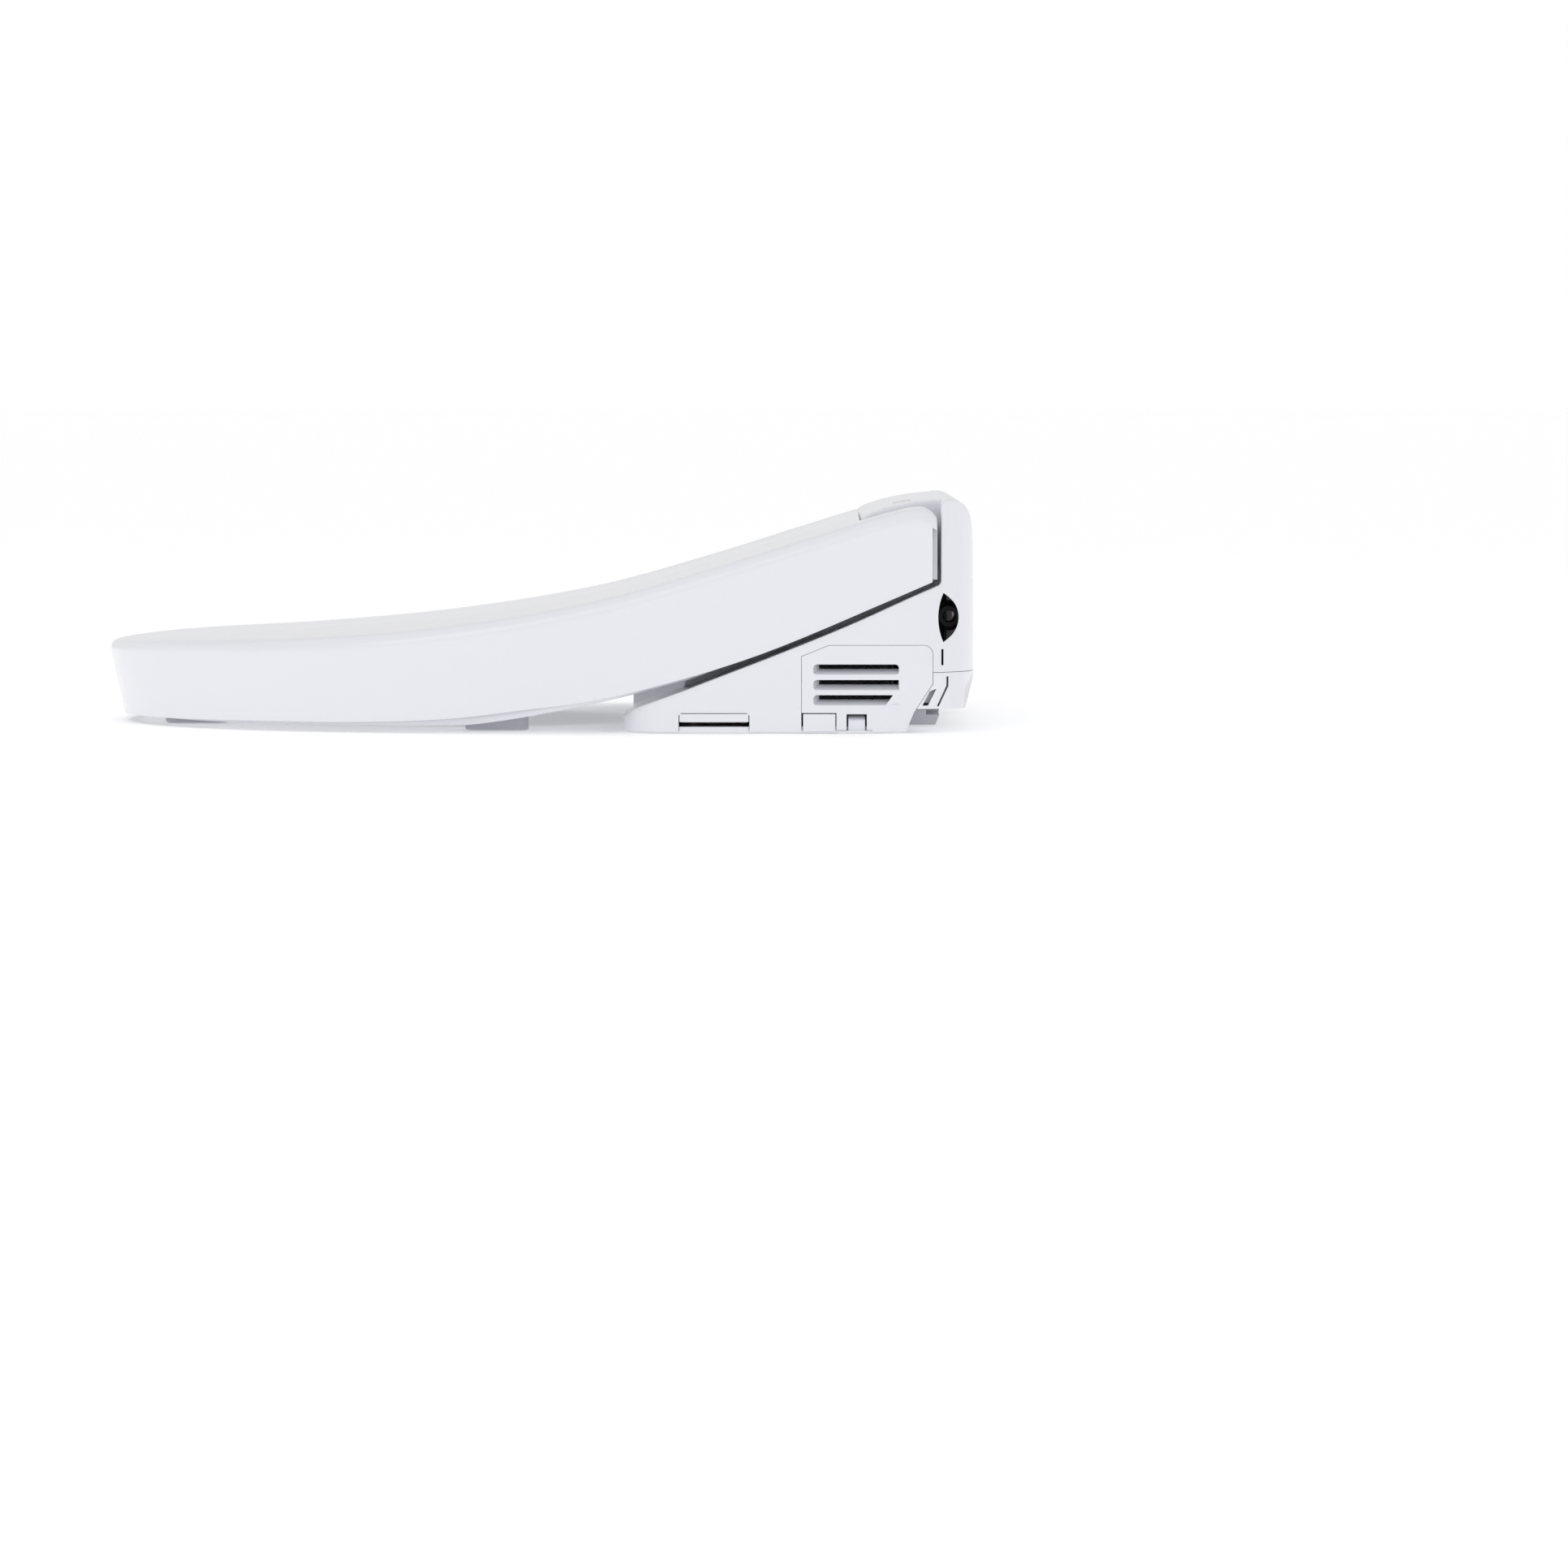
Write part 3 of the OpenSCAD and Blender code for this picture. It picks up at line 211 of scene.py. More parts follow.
def tone_group():
    """A colour that drifts a little from place to place, with dust where a face looks up."""
    group, start, end = shader_group(
        "tone",
        [("Colour", "NodeSocketColor", (1, 1, 1, 1)), ("Second Colour", "NodeSocketColor", (1, 1, 1, 1)),
         ("Dust", "NodeSocketFloat", 0.05), ("Scale", "NodeSocketFloat", 6.0)],
        [("Colour", "NodeSocketColor")])
    drift = noise_at(group, start.outputs["Scale"], 3.0)
    mix = group.nodes.new("ShaderNodeMix")
    mix.data_type = "RGBA"
    join(group, drift, mix.inputs["Factor"])
    join(group, start.outputs["Colour"], mix.inputs["A"])
    join(group, start.outputs["Second Colour"], mix.inputs["B"])
    facing = group.nodes.new("ShaderNodeNewGeometry")
    split = group.nodes.new("ShaderNodeSeparateXYZ")
    join(group, facing.outputs["Normal"], split.inputs["Vector"])
    upward = math_node(group, "MAXIMUM", split.outputs["Z"], 0.0)
    specks = noise_at(group, 420.0, 5.0)
    sharp = math_node(group, "GREATER_THAN", specks, 0.66)
    amount = math_node(group, "MULTIPLY", math_node(group, "MULTIPLY", upward, sharp), start.outputs["Dust"])
    dusty = group.nodes.new("ShaderNodeMix")
    dusty.data_type = "RGBA"
    join(group, amount, dusty.inputs["Factor"])
    join(group, mix.outputs["Result"], dusty.inputs["A"])
    dusty.inputs["B"].default_value = (0.62, 0.6, 0.57, 1)
    join(group, dusty.outputs["Result"], end.inputs["Colour"])
    return group


moulded_skin = moulded_skin_group()
tone = tone_group()


def place_group(tree, group, **values):
    node = tree.nodes.new("ShaderNodeGroup")
    node.node_tree = group
    for socket, value in values.items():
        node.inputs[socket.replace("_", " ")].default_value = value
    return node


def moulding(name, colour, second, roughness, unevenness=0.05, peel=0.3, peel_scale=240.0, dust=0.05,
             relief=0.00004, **sockets):
    """A moulded plastic or rubber made from the two groups above."""
    material, shader, tree = paint(name, colour, **sockets)
    skin = place_group(tree, moulded_skin, Roughness=roughness, Unevenness=unevenness,
                       Peel_Scale=peel_scale, Peel_Depth=peel)
    colours = place_group(tree, tone, Colour=(*colour, 1), Second_Colour=(*second, 1), Dust=dust)
    bump = tree.nodes.new("ShaderNodeBump")
    bump.inputs["Distance"].default_value = relief
    bump.inputs["Strength"].default_value = 0.5
    join(tree, colours.outputs["Colour"], shader.inputs["Base Color"])
    join(tree, skin.outputs["Roughness"], shader.inputs["Roughness"])
    join(tree, skin.outputs["Height"], bump.inputs["Height"])
    join(tree, bump.outputs["Normal"], shader.inputs["Normal"])
    return material


gloss_white = moulding("gloss_white_plastic", (0.845, 0.852, 0.905), (0.855, 0.862, 0.912), 0.2,
                       unevenness=0.06, Coat_Weight=0.25, Coat_Roughness=0.08,
                       Subsurface_Weight=0.05, Subsurface_Scale=0.004)


# ---- Lid ----
# One deep moulding, 3 mm thick: a crowned top that sweeps up to the hinge, a skirt all round
# and two ears that reach back beside the unit's hump. It hinges on pins through the ears.
def smooth_line(stops):
    """A smooth curve through (place, value) stops, held level beyond its ends."""
    xs = [s[0] for s in stops]
    zs = [s[1] for s in stops]
    rises = [(zs[i + 1] - zs[i]) / (xs[i + 1] - xs[i]) for i in range(len(xs) - 1)]
    slopes = [rises[0]] + [(a + b) / 2 for a, b in zip(rises, rises[1:])] + [rises[-1]]

    def value(x):
        x = min(max(x, xs[0]), xs[-1])
        i = next((k for k in range(len(xs) - 2) if x < xs[k + 1]), len(xs) - 2)
        h = xs[i + 1] - xs[i]
        t = (x - xs[i]) / h
        return ((2 * t**3 - 3 * t**2 + 1) * zs[i] + (t**3 - 2 * t**2 + t) * h * slopes[i]
                + (3 * t**2 - 2 * t**3) * zs[i + 1] + (t**3 - t**2) * h * slopes[i + 1])
    return value


def skin_object(name, points, faces, material):
    """A smooth-shaded piece from points in millimetres."""
    mesh = bpy.data.meshes.new(name)
    mesh.from_pydata([tuple(c * MM for c in p) for p in points], [], faces)
    mesh.validate()
    mesh.materials.append(material)
    piece = bpy.data.objects.new(name, mesh)
    bpy.context.collection.objects.link(piece)
    tidy_normals(mesh)
    return piece


def tidy_normals(mesh):
    work = bmesh.new()
    work.from_mesh(mesh)
    bmesh.ops.remove_doubles(work, verts=work.verts, dist=1e-6)
    bmesh.ops.dissolve_degenerate(work, edges=work.edges, dist=1e-7)
    bmesh.ops.recalc_face_normals(work, faces=work.faces)
    work.to_mesh(mesh)
    work.free()
    mesh.shade_smooth()


def apply_modifiers(piece):
    """The piece's mesh with all its modifiers applied."""
    graph = bpy.context.evaluated_depsgraph_get()
    graph.update()
    made = bpy.data.meshes.new_from_object(piece.evaluated_get(graph))
    piece.modifiers.clear()
    old, piece.data = piece.data, made
    made.name = old.name
    bpy.data.meshes.remove(old)
    return piece


def round_edges(piece, width, angle=35, segments=3):
    """Rounds the sharp edges of a moulding and keeps its flat faces flat."""
    bevel = piece.modifiers.new("rounding", "BEVEL")
    bevel.width, bevel.segments = width * MM, segments
    bevel.limit_method, bevel.angle_limit = "ANGLE", math.radians(angle)
    bevel.miter_outer = "MITER_ARC"
    normals = piece.modifiers.new("flat_faces", "WEIGHTED_NORMAL")
    normals.keep_sharp = True
    return piece


lid_top = smooth_line([(-476, 49), (-440, 52.6), (-354, 57.5), (-266, 65.7), (-172, 81.4), (-108, 99),
                       (-44, 119), (-15, 128), (8, 134.5), (22, 137), (28, 135.5), (32, 131.5)])
lid_low = smooth_line([(-476, 4.2), (-377, 5.4), (-312, 6), (-257, 8.4), (-215, 13.4), (-173, 19),
                       (-117, 32.4), (-80, 44), (-57, 52.6), (3, 78), (31, 90.1)])
BEND_Y = -200


def lid_height(x, y):
    return lid_top(y) - 4 * min(1, abs(x) / 190) ** 2


def round_front(half, length, angle):
    """A point of the lid's rounded front; angle runs from 0 at the side to 90 at the tip."""
    a = math.radians(angle)
    return (half * max(0, math.cos(a)) ** (2 / 2.15), BEND_Y - length * math.sin(a) ** (2 / 2.15))


def lid_mesh():
    notch_y, notch_x = -13.4, 163
    side = [32, 29, 25, 21, 16, 10, 4, -2, -7, -10.5, notch_y, -18, -24, -30, -37, -45]
    side += list(range(-53, -200, -7))
    front = [90 * (i / 46) for i in range(47)]
    half = [("side", y) for y in side] + [("front", a) for a in front]
    skirt = [0, 0.04, 0.12, 0.25, 0.4, 0.55, 0.7, 0.82, 0.92, 1]
    corner = [8, 18, 28, 38, 48, 58, 68, 78, 86]
    crown = [0, 0.3, 0.65, 1, 1.35, 1.8, 2.5, 3.4, 4.4, 5.5, 6.7, 7.8, 8.9, 9.7, 10]

    def edge(kind, v, dw, dl, back):
        if kind == "side":
            y = back if v == 32 else v
            return 190 - dw - 1.5 * ((y - BEND_Y) / 231) ** 2, y
        return round_front(190 - dw, 276 - dl, v)

    def corner_radius(kind, v):
        return 8.5 if kind == "side" else 5 + 3.5 * math.cos(math.radians(v)) ** 1.5

    def column(kind, v):
        radius = corner_radius(kind, v)
        line = []
        for f in skirt:
            x, y = edge(kind, v, 3 * (1 - f), 8.5 * (1 - f), 29.5)
            low, high = lid_low(y), lid_height(x, y) - radius
            line.append((x, y, low + (high - low) * f))
        for angle in corner:
            a = math.radians(angle)
            inset = radius * (1 - math.cos(a))
            x, y = edge(kind, v, inset, inset, 32)
            line.append((x, y, lid_height(x, y) - radius + radius * math.sin(a)))
        x, y = edge(kind, v, radius, radius, 32)
        spine = v if kind == "side" else BEND_Y - 170 * math.sin(math.radians(v))
        first = 1 - notch_x / x if kind == "side" else 1 - notch_x / 181.5
        for step in crown:
            f = first * step if step <= 1 else first + (1 - first) * (step - 1) / 9
            px, py = x * (1 - f), y * (1 - f) + spine * f
            line.append((px, py, lid_height(px, py)))
        return line

    lines = [column(*v) for v in half]
    lines += [[(-x, y, z) for x, y, z in line] for line in reversed(lines[:-1])]
    columns, rows = len(lines), len(lines[0])
    points = [p for line in lines for p in line]
    notch_row = len(skirt) + len(corner) + crown.index(1)
    notch_columns = side.index(notch_y)
    faces = [(c * rows + r, c * rows + r + 1, (c + 1) * rows + r + 1, (c + 1) * rows + r)
             for c in range(columns - 1) for r in range(rows - 1)
             if r < notch_row or notch_columns <= c < columns - 1 - notch_columns]
    return points, faces


lid = skin_object("lid_moulding", *lid_mesh(), gloss_white)
thick = lid.modifiers.new("wall", "SOLIDIFY")
thick.thickness, thick.offset, thick.use_even_offset = 3 * MM, -1, True
thick.use_quality_normals = True
apply_modifiers(lid)
round_edges(lid, 0.7, angle=50, segments=3)
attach(lid, "lid")
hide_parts("lid_shell")


# ---- Upper cover ----
# The washing unit's big moulding: a wedge with two side arms, a slope under the seat, and a
# hump that carries the hinges and curves down to the back. Its wall is 3 mm.
def arc(x, y, radius, start, end, steps=10):
    turns = [math.radians(start + (end - start) * n / steps) for n in range(steps + 1)]
    return [(x + radius * math.cos(t), y + radius * math.sin(t)) for t in turns]


def shrunk(outline, inset):
    """The outline, listed anticlockwise, with every side moved in by inset."""
    points = [Vector(p) for p in outline]
    moved = []
    for before, here, after in zip(points[-1:] + points[:-1], points, points[1:] + points[:1]):
        a = (here - before).normalized()
        b = (after - here).normalized()
        inward = Vector((-a.y, a.x)) + Vector((-b.y, b.x))
        moved.append(here + inward * inset / (1 + a.dot(b)))
    return [tuple(p) for p in moved]


def prism(outline, axis, low, high):
    """A solid drawn out from an outline of Y and Z along X, of X and Z along Y, or of X and Y up."""
    places = {"X": lambda a, b, v: (v, a, b),
              "Y": lambda a, b, v: (a, v, b),
              "Z": lambda a, b, v: (a, b, v)}
    place = places[axis]
    count = len(outline)
    points = [place(a, b, v) for v in (low, high) for a, b in outline]
    faces = [tuple(range(count)), tuple(range(2 * count - 1, count - 1, -1))]
    faces += [(i, count + i, count + (i + 1) % count, (i + 1) % count) for i in range(count)]
    return skin_object("block", points, faces, gloss_white)


def block(low, high):
    return prism([(low[0], low[1]), (high[0], low[1]), (high[0], high[1]), (low[0], high[1])],
                 "Z", low[2], high[2])


def combine(piece, other, operation, keep_other=False):
    """Adds, cuts or intersects one solid with another."""
    step = piece.modifiers.new("combine", "BOOLEAN")
    step.operation, step.object, step.solver = operation, other, "MANIFOLD"
    apply_modifiers(piece)
    if not keep_other:
        bpy.data.objects.remove(other)
    return piece


def both_sides(make):
    """The solids that make(side) gives for the +X side, 1, and the other, -1."""
    return [make(1), make(-1)]


def copy_of(piece, name):
    made = bpy.data.objects.new(name, piece.data.copy())
    bpy.context.collection.objects.link(made)
    return made


def fuse(piece, voxel, rounds):
    """Melts joined solids into one skin with softly rounded edges."""
    remesh = piece.modifiers.new("fuse", "REMESH")
    remesh.mode, remesh.voxel_size = "VOXEL", voxel * MM
    soften = piece.modifiers.new("soften", "SMOOTH")
    soften.factor, soften.iterations = 0.5, rounds
    return apply_modifiers(piece)


REAR_LINE = [(55, 34), (55, 60), (54.7, 98), (54.2, 116), (53.4, 124.5), (52, 130), (49.6, 134.2),
             (46.4, 136.9), (42.2, 138.2), (36.6, 138.4)]
UNIT_HALF, ARM_X, HUMP_HALF, SLOPE_HALF = 188, 118, 144, 138
NOSE, STEP_FOOT, EAR_BACK = (-118, 30), (-16, 99), 34.5
CREASE = (5.8, 21.9)


side_edge = smooth_line([(-148, 14.4), (-124, 22.9), (-100, 32.1), (-61, 47.2), (-18, 64.8), (20, 82),
                         (38.5, 90)])


def case_plan(inset):
    rear, front = 44 - inset, 28 - inset
    return (arc(144, 11, rear, 0, 90, 16) + arc(-144, 11, rear, 90, 180, 16)
            + arc(-160, -127, front, 180, 270) + arc(160, -127, front, 270, 360))


def corner_facets(inset):
    """Solids behind the flat facet that takes off the lower rear corner of each side."""
    lean, turn_in = math.radians(-30.4), math.radians(20)

    def facet(side):
        cut = block((0, -0.01, -60), (40, 60, 80))
        turn = Matrix.Rotation(lean, 4, "X") @ Matrix.Rotation(turn_in, 4, "Z")
        start = Vector((UNIT_HALF - inset / math.cos(turn_in), *CREASE)) * MM
        cut.data.transform(Matrix.Translation(start) @ turn)
        if side < 0:
            cut.data.transform(Matrix.Scale(-1, 4, (1, 0, 0)))
            cut.data.flip_normals()
        return cut
    return both_sides(facet)


def case_form(inset):
    """The unit's outer form, or the hollow inside it where inset is its wall."""
    wedge_line = ([(-157, -4), (57, -4), (57, 90)] + [(y, side_edge(y)) for y in np.linspace(38.5, -148, 20)]
                  + [(-151.5, 11), (-157, 9)])
    hump_line = ([(-36, -4), (55, -4)] + REAR_LINE + [(20.5, 136.8), (4.4, 133.6), (-8, 129.4),
                 (-12, 126.5), STEP_FOOT, (-36, 85.5)])
    slope_line = [(NOSE[0], -4), (-12, -4), (-12, 92), STEP_FOOT, (NOSE[0] + 2, NOSE[1] + 1.3),
                  (NOSE[0], NOSE[1] - 1)]
    beam_line = [(EAR_BACK, -4), (55, -4)] + REAR_LINE + [(EAR_BACK + 1, 137.4), (EAR_BACK, 135)]
    low = -4 + inset
    form = prism(case_plan(inset), "Z", low, 150)
    beam = combine(copy_of(form, "beam"), prism(shrunk(beam_line, inset), "X", -200, 200), "INTERSECT")
    combine(form, prism(shrunk(wedge_line, inset), "X", -200, 200), "INTERSECT")
    combine(form, block((-ARM_X - inset, -170, -10), (ARM_X + inset, NOSE[0] + inset, 60)), "DIFFERENCE")
    combine(form, prism(shrunk(hump_line, inset), "X", inset - HUMP_HALF, HUMP_HALF - inset), "UNION")
    combine(form, prism(shrunk(slope_line, inset), "X", inset - SLOPE_HALF, SLOPE_HALF - inset), "UNION")
    combine(form, beam, "UNION")
    for facet in corner_facets(inset):
        combine(form, facet, "DIFFERENCE")
    return fuse(form, 1.1, 4)


PANEL = [(-48, -6), (11.2, -6), (18.6, 12), (29.8, 29)] + arc(24.3, 46.5, 5.5, 0, 90, 6) + [
    (-32, 52), (-48, 45.5)]
TRAY = (-121, -79, 11.9)


def side_blocks(outline, low=150, high=200):
    """The outline drawn out through both flanks of the unit."""
    return both_sides(lambda side: prism(outline, "X", *sorted((side * low, side * high))))


def crisp(piece, angle=32):
    piece.data.shade_smooth()
    piece.data.set_sharp_from_angle(angle=math.radians(angle))
    return piece


def lens_outline():
    """The cord port: two arcs that meet in points above and below."""
    half = 14.7
    front = [(69 - math.sqrt(36 ** 2 - h ** 2), 68.3 + h) for h in np.linspace(half, -half, 14)]
    rear = [(30 + math.sqrt(15.4 ** 2 - h ** 2), 68.3 + h) for h in np.linspace(-half, half, 14)]
    return front + rear[1:-1]


def round_hole(radius, start, end):
    """A round cutter between two points."""
    a, b = Vector(start), Vector(end)
    cutter = prism(arc(0, 0, radius, 0, 350, 35), "Z", 0, (b - a).length)
    turn = (b - a).to_track_quat("Z", "Y").to_matrix().to_4x4()
    cutter.data.transform(Matrix.Translation(a * MM) @ turn)
    return cutter


case_outside = case_form(0)
case_hollow = case_form(3)
cover = combine(copy_of(case_outside, "upper_cover_moulding"), case_hollow, "DIFFERENCE", keep_other=True)
WAND_TILT = math.radians(32)
wand_mouth = Vector((0, -111, 20))
wand_back = Vector((0, math.cos(WAND_TILT), math.sin(WAND_TILT)))
cover_cuts = [block((-210, -180, -20), (210, 80, 0.8)),
              prism([(11, -6), (70, -6), (70, 36), (29.8, 36), (29.8, 29), (18.6, 12)], "X", -210, 210),
              *side_blocks(shrunk(PANEL, -0.25)),
              prism([(TRAY[0], -6), (TRAY[1], -6), (TRAY[1], TRAY[2] - 1.5), (TRAY[1] - 1.5, TRAY[2]),
                     (TRAY[0] + 1.5, TRAY[2]), (TRAY[0], TRAY[2] - 1.5)], "X", 178, 200),
              *side_blocks(lens_outline(), 120, 200),
              prism([(34.9, 40), (36.2, 40), (36.2, 49.6), (34.9, 49.6)], "X", 160, 200),
              round_hole(11.2, wand_mouth - wand_back * 30, wand_mouth + wand_back * 30),
              block((-76, -119, 7), (-34, -110, 25.5)),
              block((60, 8, 120), (110, 18, 150)),
              block((78, -20, 106), (118, 0, 118)),
              *both_sides(lambda side: round_hole(8, (side * 140, 20, 122), (side * 146, 20, 122)))]
for cut in cover_cuts:
    combine(cover, cut, "DIFFERENCE")
crisp(cover)
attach(cover, "unit")
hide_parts("upper_cover")


# ---- Filter cover ----
# The panel on the unit's left flank, cut from the same surface. It slides out to the side for
# cleaning the deodorising filter behind its three louvres.
LOUVRES = (40.8, 31.6, 22.6)
SLOT_HEIGHT = 6.1


def side_panel(name, side):
    low, high = sorted((side * 150, side * 200))
    panel = combine(copy_of(case_outside, name), prism(PANEL, "X", low, high), "INTERSECT")
    combine(panel, case_hollow, "DIFFERENCE", keep_other=True)
    return combine(panel, block((-210, -70, -20), (210, 40, 0.7)), "DIFFERENCE")


def louvre_slot(top, rear):
    low, radius = top - SLOT_HEIGHT, 2.3
    front = arc(-38.9, top - radius, radius, 90, 180, 6) + arc(-38.9, low + radius, radius, 180, 270, 6)
    return front + rear(low, top)


def square_end(low, top):
    return [(9.7, low), (9.7, top)]


def round_end(low, top):
    return arc(7.4, low + 2.3, 2.3, 270, 360, 6) + arc(7.4, top - 2.3, 2.3, 0, 90, 6)


def raked_end(low, top):
    return [(1.6, low), (6.2, top)]


filter_panel = side_panel("filter_cover_moulding", 1)
for top, rear in zip(LOUVRES, (round_end, square_end, raked_end)):
    combine(filter_panel, prism(louvre_slot(top, rear), "X", 180, 200), "DIFFERENCE")
for cut in (block((180, -60, -5), (200, -27.4, 12)), block((180, -21.4, 0), (200, -9.4, 11.3)),
            block((170, -27.6, -5), (200, -6.2, 1.8))):
    combine(filter_panel, cut, "DIFFERENCE")
crisp(filter_panel)
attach(filter_panel, "side_cover")
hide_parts("filter_cover")


def louvre_vanes():
    """Vanes that rise inwards behind the slots, and the cheeks that carry them."""
    vanes = []
    for top in LOUVRES:
        rise = [(187.5, top - 6.9), (187.5, top - 5.9), (180.8, top - 2.9), (180, top - 2.9),
                (180, top - 4.2)]
        vanes.append(prism(rise, "Y", -42.5, 9.6))
    cheek = prism([(179, -43.5), (186.4, -43.5), (186.4, -41.2), (180.6, -37.7), (179, -37.7)], "Z", 15.6, 42)
    vanes.append(cheek)
    vanes.append(block((179, 9.5, 17), (184.6, 11, 42)))
    for other in vanes[1:]:
        combine(vanes[0], other, "UNION")
    return vanes[0]


vanes = louvre_vanes()
vanes.name = "louvre_vanes"
catch = prism([(186.3, 1.2), (186.3, 7.4), (185, 8.8), (178, 11.6), (176, 11.6), (176, 1.2)],
              "Y", -20.4, -10.4)
catch.name = "cover_catch"
for fitting in (vanes, catch):
    round_edges(fitting, 0.25, segments=2)
    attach(fitting, "side_cover")


# ---- Service cover ----
# The matching panel on the right flank, with round openings for the water inlet and the drain.
INLET, KNOB = (8, 24), (-28, 24)
service_panel = side_panel("service_cover_moulding", -1)
combine(service_panel, round_hole(15, (-150, *INLET), (-200, *INLET)), "DIFFERENCE")
combine(service_panel, round_hole(14, (-150, *KNOB), (-200, *KNOB)), "DIFFERENCE")
crisp(service_panel)
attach(service_panel, "unit")
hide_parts("service_cover")
for form in (case_outside, case_hollow):
    bpy.data.objects.remove(form)


# ---- Deodorising filter ----
# A block of black paper coated with carbon: flat sheets with a corrugated sheet glued between
# each two, held in a thin frame behind the louvres.
carbon_paper = moulding("carbon_paper", (0.016, 0.016, 0.018), (0.03, 0.03, 0.034), 0.75,
                        unevenness=0.2, peel=1.0, peel_scale=900, dust=0.1, relief=0.0001)


def corrugated_filter():
    low, high = (v * 1000 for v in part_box("carbon_filter"))
    pitch, layer = 4.4, 2.25
    points, faces = [], []

    def sheet(line):
        first = len(points)
        points.extend([(x, y, z) for x in (low[0] + 0.5, high[0] - 0.3) for y, z in line])
        count = len(line)
        faces.extend([(first + i, first + i + 1, first + count + i + 1, first + count + i)
                      for i in range(count - 1)])

    ys = np.arange(low[1] + 1, high[1] - 0.8, pitch / 2)
    for z in np.arange(low[2] + 0.8, high[2] - 0.5, layer):
        sheet([(ys[0], z), (ys[-1], z)])
        if z + layer < high[2] - 0.5:
            sheet([(y, z + 0.25 + (n % 2) * (layer - 0.5)) for n, y in enumerate(ys)])
    filling = skin_object("filter_sheets", points, faces, carbon_paper)
    wall = filling.modifiers.new("paper", "SOLIDIFY")
    wall.thickness = 0.3 * MM
    wall.offset = 0
    frame_piece = block(low, high)
    combine(frame_piece, block(low + Vector((-1, 1.2, 1.2)), high - Vector((-1, 1.2, 1.2))), "DIFFERENCE")
    frame_piece.name = "filter_frame"
    frame_piece.data.materials[0] = carbon_paper
    return apply_modifiers(filling), round_edges(frame_piece, 0.3)


sheets, filter_frame = corrugated_filter()
for piece in (sheets, filter_frame):
    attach(piece, "unit")
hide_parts("carbon_filter")


# ---- Seat ----
# Two ring mouldings welded one on the other: a contoured top, raised at the back and dished
# towards the hole, and a flat bottom. A heating foil lies between them.
SEAT_HALF, SEAT_FRONT, SEAT_BACK = 178, 459, 26
seat_line = smooth_line([(-460, 39), (-400, 41), (-310, 42), (-222, 46), (-172, 54), (-140, 62), (-108, 74),
                         (-76, 89), (-44, 106), (-26, 113)])
seat_low = smooth_line([(-470, 6), (-262, 6), (-244, 6.8), (-173, 19), (-140, 27), (-117, 33), (-57, 57),
                        (-26, 69)])
PART_UP, PART_GAP = 4, 0.45


def oval(half, length, power, a):
    return (abs(math.cos(a) / half) ** power + abs(math.sin(a) / length) ** power) ** (-1 / power)


def seat_edge(a):
    if math.sin(a) > 1e-9:
        r = oval(SEAT_HALF, -BEND_Y - SEAT_BACK, 7, a)
        return Vector((r * math.cos(a), BEND_Y + r * math.sin(a)))
    x = math.copysign(SEAT_HALF * abs(math.cos(a)) ** (2 / 2.15), math.cos(a))
    return Vector((x, BEND_Y - (SEAT_FRONT + BEND_Y) * abs(math.sin(a)) ** (2 / 2.15)))


def hole_edge(a):
    r = oval(104, 118 if math.sin(a) > 0 else 128, 2.2, a)
    return Vector((r * math.cos(a), -262 + r * math.sin(a)))


def seat_foot(x, y):
    slope = NOSE[1] + (y - NOSE[0]) * (STEP_FOOT[1] - NOSE[1]) / (STEP_FOOT[0] - NOSE[0])
    return max(seat_low(y), slope + 4.5 - 1.3 * max(0, abs(x) - 146))


def through(stops, steps):
    """Points of a smooth line through the stops."""
    line = []
    for i in range(len(stops) - 1):
        a, b, c, d = (Vector(stops[min(max(k, 0), len(stops) - 1)]) for k in (i - 1, i, i + 1, i + 2))
        for n in range(steps):
            t = n / steps
            line.append((2 * b + (c - a) * t + (2 * a - 5 * b + 4 * c - d) * t * t
                         + (3 * b - a - 3 * c + d) * t ** 3) / 2)
    return line + [Vector(stops[-1])]


def seat_ring(name, section, steps):
    """A ring skin. Each stop of its section is a share of the ring's width plus so many mm, the
    surface it is measured from, and how far it stands above that."""
    points, columns = [], 168
    for n in range(columns):
        a = 2 * math.pi * n / columns
        outer, hole = seat_edge(a), hole_edge(a)
        width = (hole - outer).length
        stops = []
        for share, extra, surface, rise in section:
            at = outer + (hole - outer) * (share + extra / width)
            base = seat_line(at.y) if surface == "top" else seat_foot(at.x, at.y)
            stops.append((at.x, at.y, base + rise))
        points += through(stops, steps)
    rows = len(points) // columns
    faces = [(c * rows + r, c * rows + r + 1, (c + 1) % columns * rows + r + 1, (c + 1) % columns * rows + r)
             for c in range(columns) for r in range(rows - 1)]
    return skin_object(name, points, faces, gloss_white)


SEAT_TOP = [(0, 0, "foot", PART_UP), (0, 0, "top", -13), (0, 1.9, "top", -6), (0, 6.5, "top", -1.8),
            (0, 15, "top", -0.2), (0.42, 0, "top", 0), (0.6, 0, "top", -1.4), (1, -14, "top", -4.6),
            (1, -4.5, "top", -10), (1, 0, "top", -18), (1, 0, "foot", PART_UP)]
SEAT_BOTTOM = [(0, 0.4, "foot", PART_UP - PART_GAP), (0, 0.5, "foot", 1.6), (0, 2, "foot", 0.1),
               (0, 10, "foot", 0), (0.25, 0, "foot", 0), (0.4, 0, "foot", 0), (0.55, 0, "foot", 0),
               (0.7, 0, "foot", 0), (1, -10, "foot", 0), (1, -2, "foot", 0.1), (1, -0.5, "foot", 1.6),
               (1, -0.4, "foot", PART_UP - PART_GAP)]
seat_upper = seat_ring("seat_top_moulding", SEAT_TOP, 4)
seat_lower = seat_ring("seat_bottom_moulding", SEAT_BOTTOM, 3)
